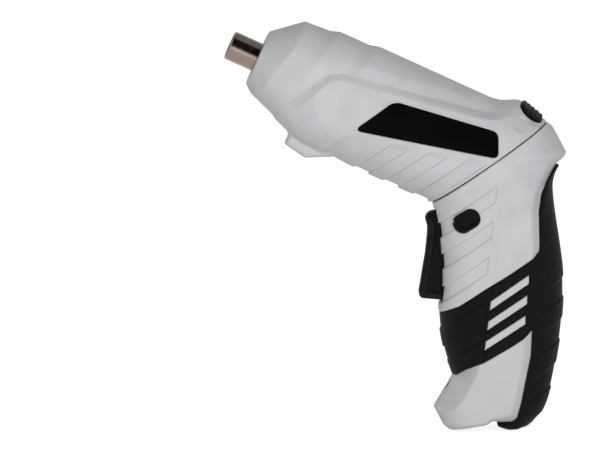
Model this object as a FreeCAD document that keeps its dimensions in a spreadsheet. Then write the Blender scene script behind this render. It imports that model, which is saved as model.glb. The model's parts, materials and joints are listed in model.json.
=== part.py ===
import FreeCAD, Part
import math
import os
import re
import Sketcher

Vector = FreeCAD.Vector
doc = FreeCAD.newDocument("electric_screwdriver")
sheet = doc.addObject("Spreadsheet::Sheet", "Sizes")

# Sizes that are set, in millimetres and degrees
SET = {
    # Swivel between head and handle
    "swivel_tilt": 30.5,
    "swivel_gap": 0.3,
    "floor_thickness": 2.8,
    "hub_radius": 9.0,
    "hub_bore_radius": 5.5,
    "hub_flange_width": 4.0,
    "hub_flange_thickness": 1.8,
    "running_clearance": 0.06,
    # Gearbox
    "gear_module": 0.6,
    "sun_teeth": 12,
    "planet_teeth": 15,
    "planet_count": 3,
    "planet_width": 5.0,
    "carrier_thickness": 2.0,
    "carrier_pin_radius": 1.2,
    "tooth_backlash": 0.1,
    "axial_gap": 0.3,
    "ring_rim": 2.2,
    "plate_thickness": 2.0,
    "cover_thickness": 3.0,
    # Motor
    "motor_radius": 12.2,
    "can_length": 27.0,
    "end_cap_length": 3.5,
    "can_wall": 1.2,
    "magnet_thickness": 2.0,
    "air_gap": 0.5,
    "motor_shaft_radius": 1.15,
    "motor_setback": 12.5,
    # Head housing
    "seat_height": 4.8,
    "head_wall": 2.2,
    "seat_width": 2.0,
    "nose_radius": 10.6,
    "nose_length": 22.8,
    "nose_wall": 3.0,
    "chin_reach": 20.7,
    "chin_slope": 20.0,
    "cheek_reach": 20.9,
    "cheek_slope": 16.0,
    "cheek_turn": 65.0,
    "bump_rise": 4.0,
    "panel_rise": 0.7,
    "panel_crown": 28.0,
    "panel_lean": 1.6,
    "badge_thickness": 1.5,
    "groove_depth": 0.6,
    "groove_width": 5.2,
    "groove_pitch": 10.5,
    "lens_radius": 2.1,
    "lens_length": 4.0,
    # Spindle and chuck
    "chuck_radius": 5.55,
    "chuck_exposed": 11.5,
    "chuck_chamfer": 0.6,
    "socket_width": 6.45,
    "socket_depth": 10.0,
    "lead_in_radius": 3.85,
    "lead_in_length": 2.2,
    "nose_clearance": 0.35,
    "spindle_radius": 3.9,
    "spindle_grip": 4.5,
    "magnet_radius": 2.8,
    "bush_wall": 2.4,
    "bush_length": 10.0,
    "boss_wall": 2.0,
    # Lock button
    "lock_length": 9.2,
    "lock_width": 21.0,
    "lock_height": 3.2,
    "lock_proud": 0.7,
    "lock_travel": 1.5,
    "lock_slope": 15.0,
    "lock_back": 6.9,
    "spring_radius": 2.5,
    "spring_wire": 0.2,
    "slide_clearance": 0.25,
    # Handle housing
    "battery_radius": 9.2,
    "battery_length": 65.0,
    "battery_lean": 7.0,
    "battery_top_room": 19.5,
    "battery_foot_room": 15.5,
    "handle_side_room": 4.8,
    "handle_wall": 2.2,
    "rubber_thickness": 1.8,
    "front_reach": 22.5,
    "back_reach": 25.0,
    "shoulder_reach": 29.6,
    "stripe_height": 3.1,
    "pad_rise": 0.55,
    "toe_slope": 36.9,
    # Trigger, switch and selector
    "trigger_width": 14.0,
    "trigger_clearance": 0.35,
    "trigger_pin_radius": 1.25,
    "switch_depth": 8.0,
    "switch_height": 20.0,
    "switch_width": 14.0,
    "plunger_radius": 2.0,
    "selector_length": 10.4,
    "selector_height": 7.0,
    "selector_throw": 2.0,
    "selector_proud": 1.0,
    # Screws, charge port and leads
    "screw_radius": 1.3,
    "screw_head_radius": 2.3,
    "screw_head_height": 1.8,
    "screw_boss_wall": 1.6,
    "port_width": 9.0,
    "port_height": 3.2,
    "port_depth": 7.0,
    "board_thickness": 1.6,
    "lead_radius": 0.7,
}

# Sizes that follow from those
FOLLOW = {
    "ring_teeth": "sun_teeth + 2 * planet_teeth",
    "stage_ratio": "1 + ring_teeth / sun_teeth",
    "centre_distance": "gear_module * (sun_teeth + planet_teeth) / 2",
    "ring_tip_radius": "gear_module * (ring_teeth / 2 - 0.85)",
    "ring_outer_radius": "gear_module * (ring_teeth / 2 + 1.2) + ring_rim",
    "carrier_radius": "centre_distance + carrier_pin_radius + 1.3",
    "stage_length": "planet_width + carrier_thickness + 3 * axial_gap",
    "can_back": "motor_setback + end_cap_length",
    "motor_front": "can_back + can_length",
    "gear_back": "motor_front + plate_thickness",
    "gear_front": "gear_back + 3 * stage_length",
    "cover_front": "gear_front + cover_thickness",
    "nose_face": "cover_front + nose_length",
    "chuck_mouth": "nose_face + chuck_exposed",
    "socket_back": "chuck_mouth - lead_in_length - socket_depth",
    "spindle_front": "socket_back - 1.5",
    "chuck_back": "spindle_front - spindle_grip",
    "bush_radius": "spindle_radius + bush_wall",
    "boss_radius": "bush_radius + boss_wall",
    "bush_front": "gear_front + bush_length",
    "armature_radius": "motor_radius - can_wall - magnet_thickness - air_gap",
    "cavity_radius": "ring_outer_radius + seat_height",
    "head_radius": "cavity_radius + head_wall",
    "floor_face": "swivel_gap / 2",
    "floor_inner": "floor_face + floor_thickness",
    "hub_flange_radius": "hub_radius + hub_flange_width",
    "panel_face": "head_radius + panel_rise",
    "bump_radius": "head_radius - 0.4",
    "bump_top": "bump_radius + bump_rise",
    "handle_length": "battery_length + battery_top_room + battery_foot_room",
    "skin": "rubber_thickness + handle_wall",
    "half_width": "battery_radius + skin + handle_side_room",
    "battery_x": "back_reach - skin - battery_radius - 3",
    "switch_front": "9 - front_reach",
    "trigger_x": "5 - front_reach",
    "trigger_z": "-0.205 * handle_length",
    "selector_x": "-0.44 * front_reach",
    "selector_z": "-0.199 * handle_length",
    "screw_boss_radius": "screw_radius + screw_boss_wall",
    "switch_bottom": "-0.275 * handle_length - switch_height",
    "screw_seat": "0.35 * half_width",
    "head_turn": "-2 * swivel_tilt",
    "tip_reach": "chuck_mouth * sin(2 * swivel_tilt) + chuck_radius * cos(2 * swivel_tilt)",
    "axis_x": "(tip_reach - shoulder_reach) / 2",
}

NAMES = set(SET) | set(FOLLOW)


def expr(text):
    """Gives a sheet expression its sheet name, so sizes can be written by their plain names."""
    return re.sub(r"[a-z][a-z_]*", lambda m: "Sizes." + m.group(0) if m.group(0) in NAMES else m.group(0),
                  str(text))


def fill_sheet():
    row = 1
    for name, value in SET.items():
        sheet.set("A%d" % row, name)
        sheet.set("B%d" % row, str(value))
        sheet.setAlias("B%d" % row, name)
        row += 1
    for name, text in FOLLOW.items():
        sheet.set("A%d" % row, name)
        sheet.set("B%d" % row, "=" + text)
        sheet.setAlias("B%d" % row, name)
        row += 1
    doc.recompute()


fill_sheet()


def value(text):
    """The number that an expression of sizes comes to now."""
    result = sheet.evalExpression(expr(text))
    return float(getattr(result, "Value", result))


def bind(thing, prop, text):
    thing.setExpression(prop, expr(text))


# Building blocks


def place(thing, x="0", y="0", z="0", axis=None, angle="0"):
    """Binds a placement: an offset, and a turn about one axis."""
    if axis is not None:
        thing.Placement = FreeCAD.Placement(Vector(0, 0, 0), FreeCAD.Rotation(axis, 1))
        bind(thing, "Placement.Rotation.Angle", angle)
    for letter, text in zip("xyz", (x, y, z)):
        bind(thing, "Placement.Base." + letter, text)
    return thing


def along(way):
    """The turn that lays a cylinder's axis along -Y, or leaves it along Z."""
    return {"y": (Vector(1, 0, 0), "90"), "z": (None, "0"), "x": (Vector(0, 1, 0), "90")}[way]


def cylinder(name, radius, height, x="0", y="0", z="0", way="z"):
    thing = doc.addObject("Part::Cylinder", name)
    bind(thing, "Radius", radius)
    bind(thing, "Height", height)
    axis, angle = along(way)
    return place(thing, x, y, z, axis, angle)


def cross_bar(name, radius, half, x, z):
    """A round bar across the part, from -half to half along Y."""
    return cylinder(name, radius, "2 * (%s)" % half, x, half, z, "y")


def box(name, low, high):
    """A box between two corners, each three expressions."""
    thing = doc.addObject("Part::Box", name)
    for prop, a, b in zip(("Length", "Width", "Height"), low, high):
        bind(thing, prop, "(%s) - (%s)" % (b, a))
    return place(thing, *low)


def turned_box(name, low, high, angle):
    """A box given in a frame turned about Y, for what is parallel to the swivel plane or a slope."""
    return place(wrapped(name, box(name + "_flat", low, high)), axis=Vector(0, 1, 0), angle=angle)


def turned_bar(name, radius, low, high, angle):
    """A cylinder along Z between two heights, in a frame turned about Y."""
    flat = cylinder(name + "_flat", radius, "(%s) - (%s)" % (high, low), z=low)
    return place(wrapped(name, flat), axis=Vector(0, 1, 0), angle=angle)


def fuse(name, things):
    thing = doc.addObject("Part::MultiFuse", name)
    thing.Shapes = things
    return thing


def common(name, things):
    thing = doc.addObject("Part::MultiCommon", name)
    thing.Shapes = things
    return thing


def cut(name, base, tools):
    thing = doc.addObject("Part::Cut", name)
    thing.Base = base
    thing.Tool = tools[0] if len(tools) == 1 else fuse(name + "_tools", tools)
    return thing


def wrapped(name, thing):
    """A compound around something already placed, so that it can be placed again as a whole."""
    group = doc.addObject("Part::Compound", name)
    group.Links = [thing]
    return group


def mirrored(name, source):
    thing = doc.addObject("Part::Mirroring", name + "_image")
    thing.Source = source
    thing.Normal = Vector(0, 1, 0)
    return wrapped(name, thing)


def new_sketch(body, name, role, offset="0"):
    sketch = body.newObject("Sketcher::SketchObject", name)
    plane = [f for f in body.Origin.OriginFeatures if f.Role == role][0]
    sketch.AttachmentSupport = [(plane, "")]
    sketch.MapMode = "FlatFace"
    bind(sketch, "AttachmentOffset.Base.z", offset)
    return sketch


def hold(sketch, kind, *where):
    """Adds a sized constraint whose last entry is an expression."""
    text = where[-1]
    number = sketch.addConstraint(Sketcher.Constraint(kind, *where[:-1], value(text)))
    bind(sketch, "Constraints[%d]" % number, text)


def outline(body, name, role, corners, offset="0"):
    """A closed sketch of straight lines through corners given as pairs of expressions."""
    sketch = new_sketch(body, name, role, offset)
    spots = [Vector(value(a), value(b), 0) for a, b in corners]
    count = len(spots)
    for i in range(count):
        sketch.addGeometry(Part.LineSegment(spots[i], spots[(i + 1) % count]))
    for i in range(count):
        sketch.addConstraint(Sketcher.Constraint("Coincident", i, 2, (i + 1) % count, 1))
    for i, (a, b) in enumerate(corners):
        hold(sketch, "DistanceX", i, 1, a)
        hold(sketch, "DistanceY", i, 1, b)
    return sketch


def rounded(body, name, offset, front, back, half, corner):
    """A rounded rectangle in a level plane, even about Y, for the sections of a loft."""
    sketch = new_sketch(body, name, "XY_Plane", offset)
    x0, x1, h, c = value(front), value(back), value(half), value(corner)
    spots = [(x0 + c, -h), (x1 - c, -h), (x1, c - h), (x1, h - c), (x1 - c, h), (x0 + c, h), (x0, h - c),
             (x0, c - h)]
    middles = [(x1 - c, c - h), (x1 - c, h - c), (x0 + c, h - c), (x0 + c, c - h)]
    for i in range(4):
        a, b = spots[2 * i], spots[2 * i + 1]
        sketch.addGeometry(Part.LineSegment(Vector(a[0], a[1], 0), Vector(b[0], b[1], 0)))
        circle = Part.Circle(Vector(middles[i][0], middles[i][1], 0), Vector(0, 0, 1), c)
        sketch.addGeometry(Part.ArcOfCircle(circle, math.radians(90 * i - 90), math.radians(90 * i)))
    for i in range(4):
        line, arc, after = 2 * i, 2 * i + 1, (2 * i + 2) % 8
        sketch.addConstraint(Sketcher.Constraint("Tangent", line, 2, arc, 1))
        sketch.addConstraint(Sketcher.Constraint("Tangent", arc, 2, after, 1))
    for arc in (3, 5, 7):
        sketch.addConstraint(Sketcher.Constraint("Equal", 1, arc))
    sketch.addConstraint(Sketcher.Constraint("Horizontal", 0))
    hold(sketch, "Radius", 1, corner)
    hold(sketch, "DistanceX", 6, 1, front)
    hold(sketch, "DistanceX", 2, 1, back)
    hold(sketch, "DistanceY", 0, 1, "-(%s)" % half)
    hold(sketch, "DistanceY", 4, 1, half)
    return sketch


def body_named(name):
    return doc.addObject("PartDesign::Body", name)


def plate(name, corners, half, role="XZ_Plane"):
    """A body padded evenly to both sides of the middle plane."""
    body = body_named(name)
    sketch = outline(body, name + "_outline", role, corners)
    pad = body.newObject("PartDesign::Pad", name + "_pad")
    pad.Profile = sketch
    pad.Midplane = True
    bind(pad, "Length", "2 * (%s)" % half)
    body.Tip = pad
    return body


def side_plate(name, corners, start, rise, taper="0"):
    """A body padded outwards on the -Y side, from start to start + rise, with sloped flanks."""
    body = body_named(name)
    sketch = outline(body, name + "_outline", "XZ_Plane", corners, start)
    pad = body.newObject("PartDesign::Pad", name + "_pad")
    pad.Profile = sketch
    bind(pad, "Length", rise)
    bind(pad, "TaperAngle", taper)
    body.Tip = pad
    return body


def lathe(name, corners):
    """A body turned about Z from corners given as (radius, height)."""
    body = body_named(name)
    sketch = outline(body, name + "_outline", "XZ_Plane", corners)
    turn = body.newObject("PartDesign::Revolution", name + "_turn")
    turn.Profile = sketch
    turn.ReferenceAxis = (sketch, ["V_Axis"])
    turn.Angle = 360.0
    body.Tip = turn
    return body


def tube(name, inner, outer, low, high):
    return lathe(name, [(inner, low), (outer, low), (outer, high), (inner, high)])


def disc(name, outer, low, high):
    return lathe(name, [("0", low), (outer, low), (outer, high), ("0", high)])


def loft(name, sections):
    """A body lofted through rounded rectangles given as (height, front, back, half, corner)."""
    body = body_named(name)
    sketches = [rounded(body, "%s_section_%d" % (name, i), *s) for i, s in enumerate(sections)]
    feature = body.newObject("PartDesign::AdditiveLoft", name + "_loft")
    feature.Profile = sketches[0]
    feature.Sections = sketches[1:]
    feature.Ruled = True
    body.Tip = feature
    return body


# Frames of the finished pieces

PIECES = {}


def keep(label, thing, angle):
    """Stands a finished piece in the row's frame, turned about Y at the swivel centre."""
    whole = place(wrapped(label, thing), "axis_x", "0", "handle_length", Vector(0, 1, 0), angle)
    whole.Label = label
    PIECES[label] = whole


def in_handle(label, thing):
    """Handle pieces are drawn with X back and Z up."""
    keep(label, thing, "0")


def in_head(label, thing):
    """Head pieces are drawn with Z along the head's axis, to the tip, and X up."""
    keep(label, thing, "head_turn")


def on_swivel(label, thing):
    """Swivel pieces are drawn with Z along the swivel axis."""
    keep(label, thing, "-swivel_tilt")


def halves(stem, full, frame):
    """Splits a whole housing at the middle plane into its two halves."""
    reach = "4 * handle_length"
    low = ("-(%s)" % reach, "-(%s)" % reach, "-(%s)" % reach)
    left = box(stem + "_left_side", low, (reach, "0", reach))
    right = box(stem + "_right_side", (low[0], "0", low[2]), (reach, reach, reach))
    frame(stem + "_left", common(stem + "_left_half", [full, left]))
    frame(stem + "_right", common(stem + "_right_half", [full, right]))


# Gears


def involute(angle):
    return math.tan(angle) - angle


def gear_wire(teeth, thickness, root, tip, height, centre=0.0, turn=0.0):
    """Outline of a gear with a tooth on the X axis; flanks are two flats on the involute.

    The gear stands centre along X and is then turned about the head's axis.
    """
    module = value("gear_module")
    pitch = module * teeth / 2
    pressure = math.radians(20)
    base = pitch * math.cos(pressure)
    half = thickness / (2 * pitch)
    flank = []
    for radius in (root, max(root, pitch - 0.25 * module), tip):
        slope = math.acos(min(1.0, base / radius))
        flank.append((radius, half + involute(pressure) - involute(slope)))
    spots = []
    for tooth in range(int(teeth)):
        middle = 2 * math.pi * tooth / teeth
        for radius, angle in flank:
            spots.append((radius, middle - angle))
        for radius, angle in reversed(flank):
            spots.append((radius, middle + angle))
    spin = FreeCAD.Rotation(Vector(0, 0, 1), turn)
    corners = [spin.multVec(Vector(centre + r * math.cos(a), r * math.sin(a), height)) for r, a in spots]
    return Part.makePolygon(corners + corners[:1])


def external_gear(teeth, back, length, centre=0.0, turn=0.0):
    module = value("gear_module")
    pitch = module * teeth / 2
    thickness = math.pi * module / 2 - value("tooth_backlash")
    wire = gear_wire(teeth, thickness, pitch - 1.2 * module, pitch + 0.9 * module, back, centre, turn)
    return Part.Face(wire).extrude(Vector(0, 0, length))


def gear_feature(name, shape):
    thing = doc.addObject("Part::Feature", name)
    thing.Shape = shape
    return thing


def sun_gear(name, back, front):
    """A sun pinion with a tooth facing each planet."""
    shape = external_gear(value("sun_teeth"), value(back), value(front) - value(back))
    return gear_feature(name, shape)


def planet_gear(name, turn, back):
    """A planet with a gap facing the sun, bored to run on its carrier pin."""
    distance = value("centre_distance")
    width = value("planet_width")
    shape = external_gear(value("planet_teeth"), value(back), width, distance, turn)
    middle = FreeCAD.Rotation(Vector(0, 0, 1), turn).multVec(Vector(distance, 0, value(back)))
    bore = Part.makeCylinder(value("carrier_pin_radius + running_clearance"), width, middle)
    return gear_feature(name, shape.cut(bore))


def stage_back(stage):
    return "gear_back + %d * stage_length" % stage


def planets_back(stage):
    return stage_back(stage) + " + axial_gap"


def carrier_back(stage):
    return planets_back(stage) + " + planet_width + axial_gap"


def carrier_pins(name, stage):
    """The pins that stand back from a carrier into its planets."""
    pins = []
    for number in range(int(value("planet_count"))):
        pin = cylinder("%s_pin_%d" % (name, number), "carrier_pin_radius", "planet_width + 2 * axial_gap",
                       "centre_distance * cos(%d * 360 / planet_count)" % number,
                       "centre_distance * sin(%d * 360 / planet_count)" % number,
                       stage_back(stage) + " + 0.1")
        pins.append(pin)
    return pins


def make_gearbox():
    ring_hole_tip = value("ring_outer_radius - ring_rim")
    space = math.pi * value("gear_module") / 2 + value("tooth_backlash")
    length = value("gear_front - gear_back")
    back = value("gear_back")
    hole = Part.Face(gear_wire(value("ring_teeth"), space, value("ring_tip_radius"), ring_hole_tip, back))
    rim = Part.makeCylinder(value("ring_outer_radius"), length, Vector(0, 0, back))
    ring = rim.cut(hole.extrude(Vector(0, 0, length)))
    in_head("ring_gear", gear_feature("ring_gear_form", ring))
    in_head("motor_plate", tube("motor_plate_form", "gear_module * (sun_teeth / 2 + 2)",
                                "ring_outer_radius",
                                "motor_front", "gear_back"))
    for stage in range(3):
        for number in range(int(value("planet_count"))):
            name = "planet_%d_%s" % (stage + 1, "abcdef"[number])
            turn = 360.0 * number / value("planet_count")
            in_head(name, planet_gear(name + "_form", turn, planets_back(stage)))
    for stage in range(2):
        name = "carrier_%d" % (stage + 1)
        front = carrier_back(stage) + " + carrier_thickness"
        disc_part = disc(name + "_disc", "carrier_radius", carrier_back(stage), front)
        sun = sun_gear(name + "_sun", front, planets_back(stage + 1) + " + planet_width")
        in_head(name, fuse(name + "_form", [disc_part, sun] + carrier_pins(name, stage)))
    cover = lathe("gearbox_cover_form", [
        ("bush_radius", "gear_front"), ("ring_outer_radius", "gear_front"),
        ("ring_outer_radius", "cover_front"),
        ("boss_radius", "cover_front"), ("boss_radius", "bush_front"), ("bush_radius", "bush_front")])
    in_head("gearbox_cover", cover)
    in_head("spindle_bush", tube("spindle_bush_form", "spindle_radius + running_clearance", "bush_radius",
                                 "gear_front", "bush_front"))


def make_motor():
    shaft_hole = "motor_shaft_radius + running_clearance"
    in_head("motor_can", lathe("motor_can_form", [
        ("motor_radius - can_wall", "can_back"), ("motor_radius", "can_back"),
        ("motor_radius", "motor_front"),
        (shaft_hole, "motor_front"), (shaft_hole, "motor_front - 2 * can_wall"),
        ("motor_radius - can_wall", "motor_front - 2 * can_wall")]))
    in_head("motor_end_cap", lathe("motor_end_cap_form", [
        (shaft_hole, "motor_setback"), ("motor_radius - 0.8", "motor_setback"),
        ("motor_radius", "motor_setback + 0.8"),
        ("motor_radius", "can_back"), (shaft_hole, "can_back")]))
    sleeve = tube("magnet_sleeve", "motor_radius - can_wall - magnet_thickness", "motor_radius - can_wall",
                  "can_back + 3", "motor_front - 2 * can_wall - 1")
    gap = box("magnet_gap", ("-motor_radius", "-2.5", "0"), ("motor_radius", "2.5", "motor_front"))
    in_head("motor_magnets", cut("motor_magnets_form", sleeve, [gap]))
    core = disc("armature_core", "armature_radius", "can_back + 5", "motor_front - 2 * can_wall - 3")
    slots = []
    for number in range(3):
        slot = box("armature_slot_%d" % number, ("armature_radius * 0.45", "-1.1", "0"),
                   ("2 * armature_radius", "1.1", "motor_front"))
        turned = wrapped("armature_slot_turned_%d" % number, slot)
        slots.append(place(turned, axis=Vector(0, 0, 1), angle=str(120 * number + 60)))
    poles = cut("armature_poles", core, slots)
    commutator = disc("commutator", "armature_radius * 0.4", "can_back + 1", "can_back + 5")
    shaft = disc("motor_shaft", "motor_shaft_radius", "motor_setback + 0.5", "motor_front + 0.4")
    pinion = sun_gear("pinion_teeth", "motor_front + 0.4", planets_back(0) + " + planet_width")
    in_head("armature", fuse("armature_form", [poles, commutator, shaft]))
    in_head("motor_pinion", pinion)


def make_spindle():
    carrier = disc("spindle_carrier", "carrier_radius", carrier_back(2), "gear_front - axial_gap / 2")
    shaft = disc("spindle_shaft", "spindle_radius", "gear_front - axial_gap / 2", "spindle_front")
    in_head("spindle", fuse("spindle_form", [carrier, shaft] + carrier_pins("spindle", 2)))
    in_head("retaining_ring", tube("retaining_ring_form", "spindle_radius", "spindle_radius + 1.2",
                                   "bush_front + 0.2", "bush_front + 1.2"))
    sleeve = lathe("chuck_sleeve", [
        ("0", "chuck_back"), ("chuck_radius", "chuck_back"),
        ("chuck_radius", "chuck_mouth - chuck_chamfer"),
        ("chuck_radius - chuck_chamfer", "chuck_mouth"), ("0", "chuck_mouth")])
    socket = doc.addObject("Part::Prism", "hexagon_socket")
    socket.Polygon = 6
    bind(socket, "Circumradius", "socket_width / sqrt(3)")
    bind(socket, "Height", "2 * socket_depth")
    place(socket, z="socket_back")
    lead_in = cylinder("socket_lead_in", "lead_in_radius", "2 * lead_in_length",
                       z="chuck_mouth - lead_in_length")
    back_bore = cylinder("chuck_back_bore", "spindle_radius", "2 * spindle_grip",
                         z="spindle_front - 2 * spindle_grip")
    pocket = cylinder("bit_magnet_pocket", "magnet_radius", "4", z="spindle_front - 1")
    in_head("chuck", cut("chuck_form", sleeve, [socket, lead_in, back_bore, pocket]))
    in_head("bit_magnet", disc("bit_magnet_form", "magnet_radius", "spindle_front", "socket_back"))


# Swivel


def make_hub():
    """The hollow spool that both housings close on; it turns in the handle's floor."""
    flange_top = "floor_inner + hub_flange_thickness"
    neck = "floor_inner + running_clearance"
    on_swivel("swivel_hub", lathe("swivel_hub_form", [
        ("hub_bore_radius", "-(%s)" % neck + " - hub_flange_thickness"),
        ("hub_flange_radius", "-(%s)" % neck + " - hub_flange_thickness"),
        ("hub_flange_radius", "-(%s)" % neck),
        ("hub_radius", "-(%s)" % neck), ("hub_radius", "floor_inner"), ("hub_flange_radius", "floor_inner"),
        ("hub_flange_radius", flange_top), ("hub_bore_radius", flange_top)]))


# Head housing, drawn with X up, Z to the tip


def head_turned(name, inset):
    """The turned form of the head, or of its hollow when inset is the wall."""
    r = "head_radius * %s - " + inset
    back = "-1.2 * head_radius"
    face = "nose_face" if inset == "0" else "nose_face - nose_wall"
    nose = "nose_radius" if inset == "0" else "nose_radius - " + inset
    return lathe(name, [
        ("0", back), (r % 1.0, back), (r % 1.0, "nose_face - 40"), (r % 0.955, "nose_face - 36.5"),
        (r % 0.945, "nose_face - 24"), (r % 0.895, "nose_face - 20"), (r % 0.87, "nose_face - 10.6"),
        (nose, face), ("0", face)])


def slanted_tool(name, wall, reach, slope, turn):
    """What a broad slanted face takes off the nose on one side; wall sets it in for the hollow."""
    block = box(name + "_block", ("-30", "-40", "-60"), ("30", "40", "60"))
    barrel = cylinder(name + "_barrel", "30", "140", x="30", z="-70")
    tool = cut(name + "_tool", block, [barrel])
    slanted = place(wrapped(name + "_slanted", tool), "%s - %s" % (wall, reach), "0",
                    "nose_face - nose_length", Vector(0, 1, 0), slope)
    return place(wrapped(name, slanted), axis=Vector(0, 0, 1), angle=turn)


def nose_tools(name, wall):
    """The slanted chin below the nose, and a cheek on each side of it."""
    return [slanted_tool("chin" + name, wall, "chin_reach", "chin_slope", "0"),
            slanted_tool("cheek_left" + name, wall, "cheek_reach", "cheek_slope", "cheek_turn"),
            slanted_tool("cheek_right" + name, wall, "cheek_reach", "cheek_slope", "-cheek_turn")]


def crown_form(name, proud):
    """The large cylinder that crowns the panel; it leans in towards the tip."""
    bar = cylinder(name + "_bar", "panel_crown + " + proud, "4 * nose_face", z="-2 * nose_face")
    return place(wrapped(name, bar), y="panel_crown - panel_face", axis=Vector(1, 0, 0),
                 angle="-panel_lean")


def make_panel():
    """The raised side panel with sloped flanks and a gentle crown."""
    corners = [
        ("-8.5", "72.5"), ("6", "66.8"), ("8.4", "63.3"), ("15.6", "9.5"), ("18", "5"), ("20.5", "0"),
        ("18.5", "-20"), ("-3", "-12"), ("0.4", "-1"), ("-12.2", "49.3"), ("-16", "54"), ("-19.5", "65")]
    start = "head_radius * 0.72"
    slab = side_plate("panel_slab", corners, start, "panel_face - " + start, "24")
    return common("panel_left", [slab, crown_form("panel_crown_form", "0")])


BADGE = [("-7.9", "49.6"), ("-6.9", "50.1"), ("-6.1", "49.8"), ("6.8", "42"), ("7.4", "41"),
         ("12.2", "3.2"), ("11.8", "2.2"), ("4.8", "-0.9"), ("4.1", "-0.2")]


def make_badge():
    """The black inlay of the panel; its recess in the shell is the same form."""
    bottom = "panel_face - badge_thickness - 1.2"
    slab = side_plate("badge_slab", BADGE, bottom, "5", "0")
    return common("badge_form", [slab, crown_form("badge_crown_form", "0.15")]), slab


def make_bump(name, grow):
    """The hump at the head's rear top that carries the lock button, turned about a raised axis."""
    r = "bump_radius + " + grow
    back = "-1.2 * head_radius"
    profile = lathe(name + "_turned", [
        ("0", back), (r + " - (1.2 * head_radius - 2) * tan(lock_slope)", back), (r, "-2"),
        (r + " - 0.4", "0.5"), (r + " - 5", "9"), ("0", "9")])
    return place(wrapped(name, profile), x="bump_rise")


def groove_tools():
    """Sunk bands of the underside, parallel to the swivel plane, below the panel."""
    slabs = []
    for number in range(3):
        low = "1.3 + %d * groove_pitch" % number
        slab = turned_box("groove_%d" % number, ("-60", "-60", low), ("60", "60", low + " + groove_width"),
                          "swivel_tilt")
        slabs.append(slab)
    core = cylinder("groove_core", "head_radius - groove_depth", "3 * nose_face", z="-nose_face")
    rings = cut("groove_rings", fuse("groove_slabs", slabs), [core])
    region = plate("groove_region", [("-15.5", "54"), ("-13.6", "49.3"), ("-2", "1"), ("-8", "-1"),
                                     ("-40", "10"), ("-40", "54")], "40")
    return common("grooves", [rings, region])


HEAD_SCREWS = [("14.6", "8"), ("-15", "29"), ("ring_outer_radius + screw_radius + 0.4", "57.5"),
               ("-12.5", "76.5")]


def screw_set(name, spots, seat):
    """Screws from the right side: heads outside seat, shanks into the left half; X and Z are the spots."""
    parts = []
    for number, (x, z) in enumerate(spots):
        disc_form = cylinder("%s_disc_%d" % (name, number), "screw_head_radius", "screw_head_height", x,
                             "%s + screw_head_height" % seat, z, "y")
        head = cut("%s_head_%d" % (name, number), disc_form, cross_recess("%s_%d" % (name, number), x, z,
                seat))
        shank = cylinder("%s_shank_%d" % (name, number), "screw_radius", "2 * (%s)" % seat, x, seat, z, "y")
        parts.append(fuse("%s_screw_%d" % (name, number), [head, shank]))
    group = doc.addObject("Part::Compound", name)
    group.Links = parts
    return group


def cross_recess(name, x, z, seat):
    """The two slots of a screw's cross recess."""
    floor = "%s + screw_head_height * 0.5" % seat
    slots = []
    for way, (across, along) in (("flat", ("0.6", "0.16")), ("upright", ("0.16", "0.6"))):
        low = ("%s - screw_head_radius * %s" % (x, across), floor,
               "%s - screw_head_radius * %s" % (z, along))
        high = ("%s + screw_head_radius * %s" % (x, across), floor + " + 5",
                "%s + screw_head_radius * %s" % (z, along))
        slots.append(box("%s_slot_%s" % (name, way), low, high))
    return slots


def screw_bosses(name, spots, half):
    return [cross_bar("%s_boss_%d" % (name, number), "screw_boss_radius", half, x, z)
            for number, (x, z) in enumerate(spots)]


def screw_holes(name, spots, seat):
    """Shank holes, and recesses for the heads on the right side."""
    tools = []
    for number, (x, z) in enumerate(spots):
        tools.append(cylinder("%s_hole_%d" % (name, number), "screw_radius", "2 * (%s)" % seat, x, seat, z,
                              "y"))
        tools.append(cylinder("%s_sink_%d" % (name, number), "screw_head_radius + 0.2", "40", x,
                              seat + " + 40", z, "y"))
    return tools


def on_slope(name, thing):
    """Stands something on the bump's slope, with its Z out of the head."""
    return place(wrapped(name, thing), "bump_top - (lock_back - 2) * tan(lock_slope)", "0", "-lock_back",
                 Vector(0, 1, 0), "90 + lock_slope")


def make_lock_spring():
    """The coil under the lock button, from the pocket's floor to the button."""
    coil = doc.addObject("Part::Helix", "lock_spring_path")
    bind(coil, "Radius", "spring_radius")
    bind(coil, "Height", "lock_travel + 0.5 - 2 * spring_wire")
    bind(coil, "Pitch", "(lock_travel + 0.5 - 2 * spring_wire) / 2")
    wire = doc.addObject("Part::Circle", "lock_spring_wire")
    bind(wire, "Radius", "spring_wire")
    place(wire, x="spring_radius", axis=Vector(1, 0, 0), angle="90")
    spring = doc.addObject("Part::Sweep", "lock_spring_coil")
    spring.Sections = [wire]
    spring.Spine = coil
    spring.Solid = True
    spring.Frenet = True
    lifted = place(wrapped("lock_spring_lifted", spring),
                   z="lock_proud - lock_height - lock_travel - 0.5 + spring_wire")
    in_head("lock_spring", on_slope("lock_spring_tilted", lifted))


def lock_form(name, grow, depth, height):
    """The lock button's rounded block, standing on the bump's slope; grow widens it for its pocket."""
    length = "lock_length / 2 + " + grow
    width = "lock_width / 2 + " + grow
    body = body_named(name)
    sketch = rounded(body, name + "_outline", depth, "-(%s)" % length, length, width,
                     "lock_length * 0.42 + " + grow)
    pad = body.newObject("PartDesign::Pad", name + "_pad")
    pad.Profile = sketch
    bind(pad, "Length", height)
    body.Tip = pad
    return on_slope(name + "_tilted", body)


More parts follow.
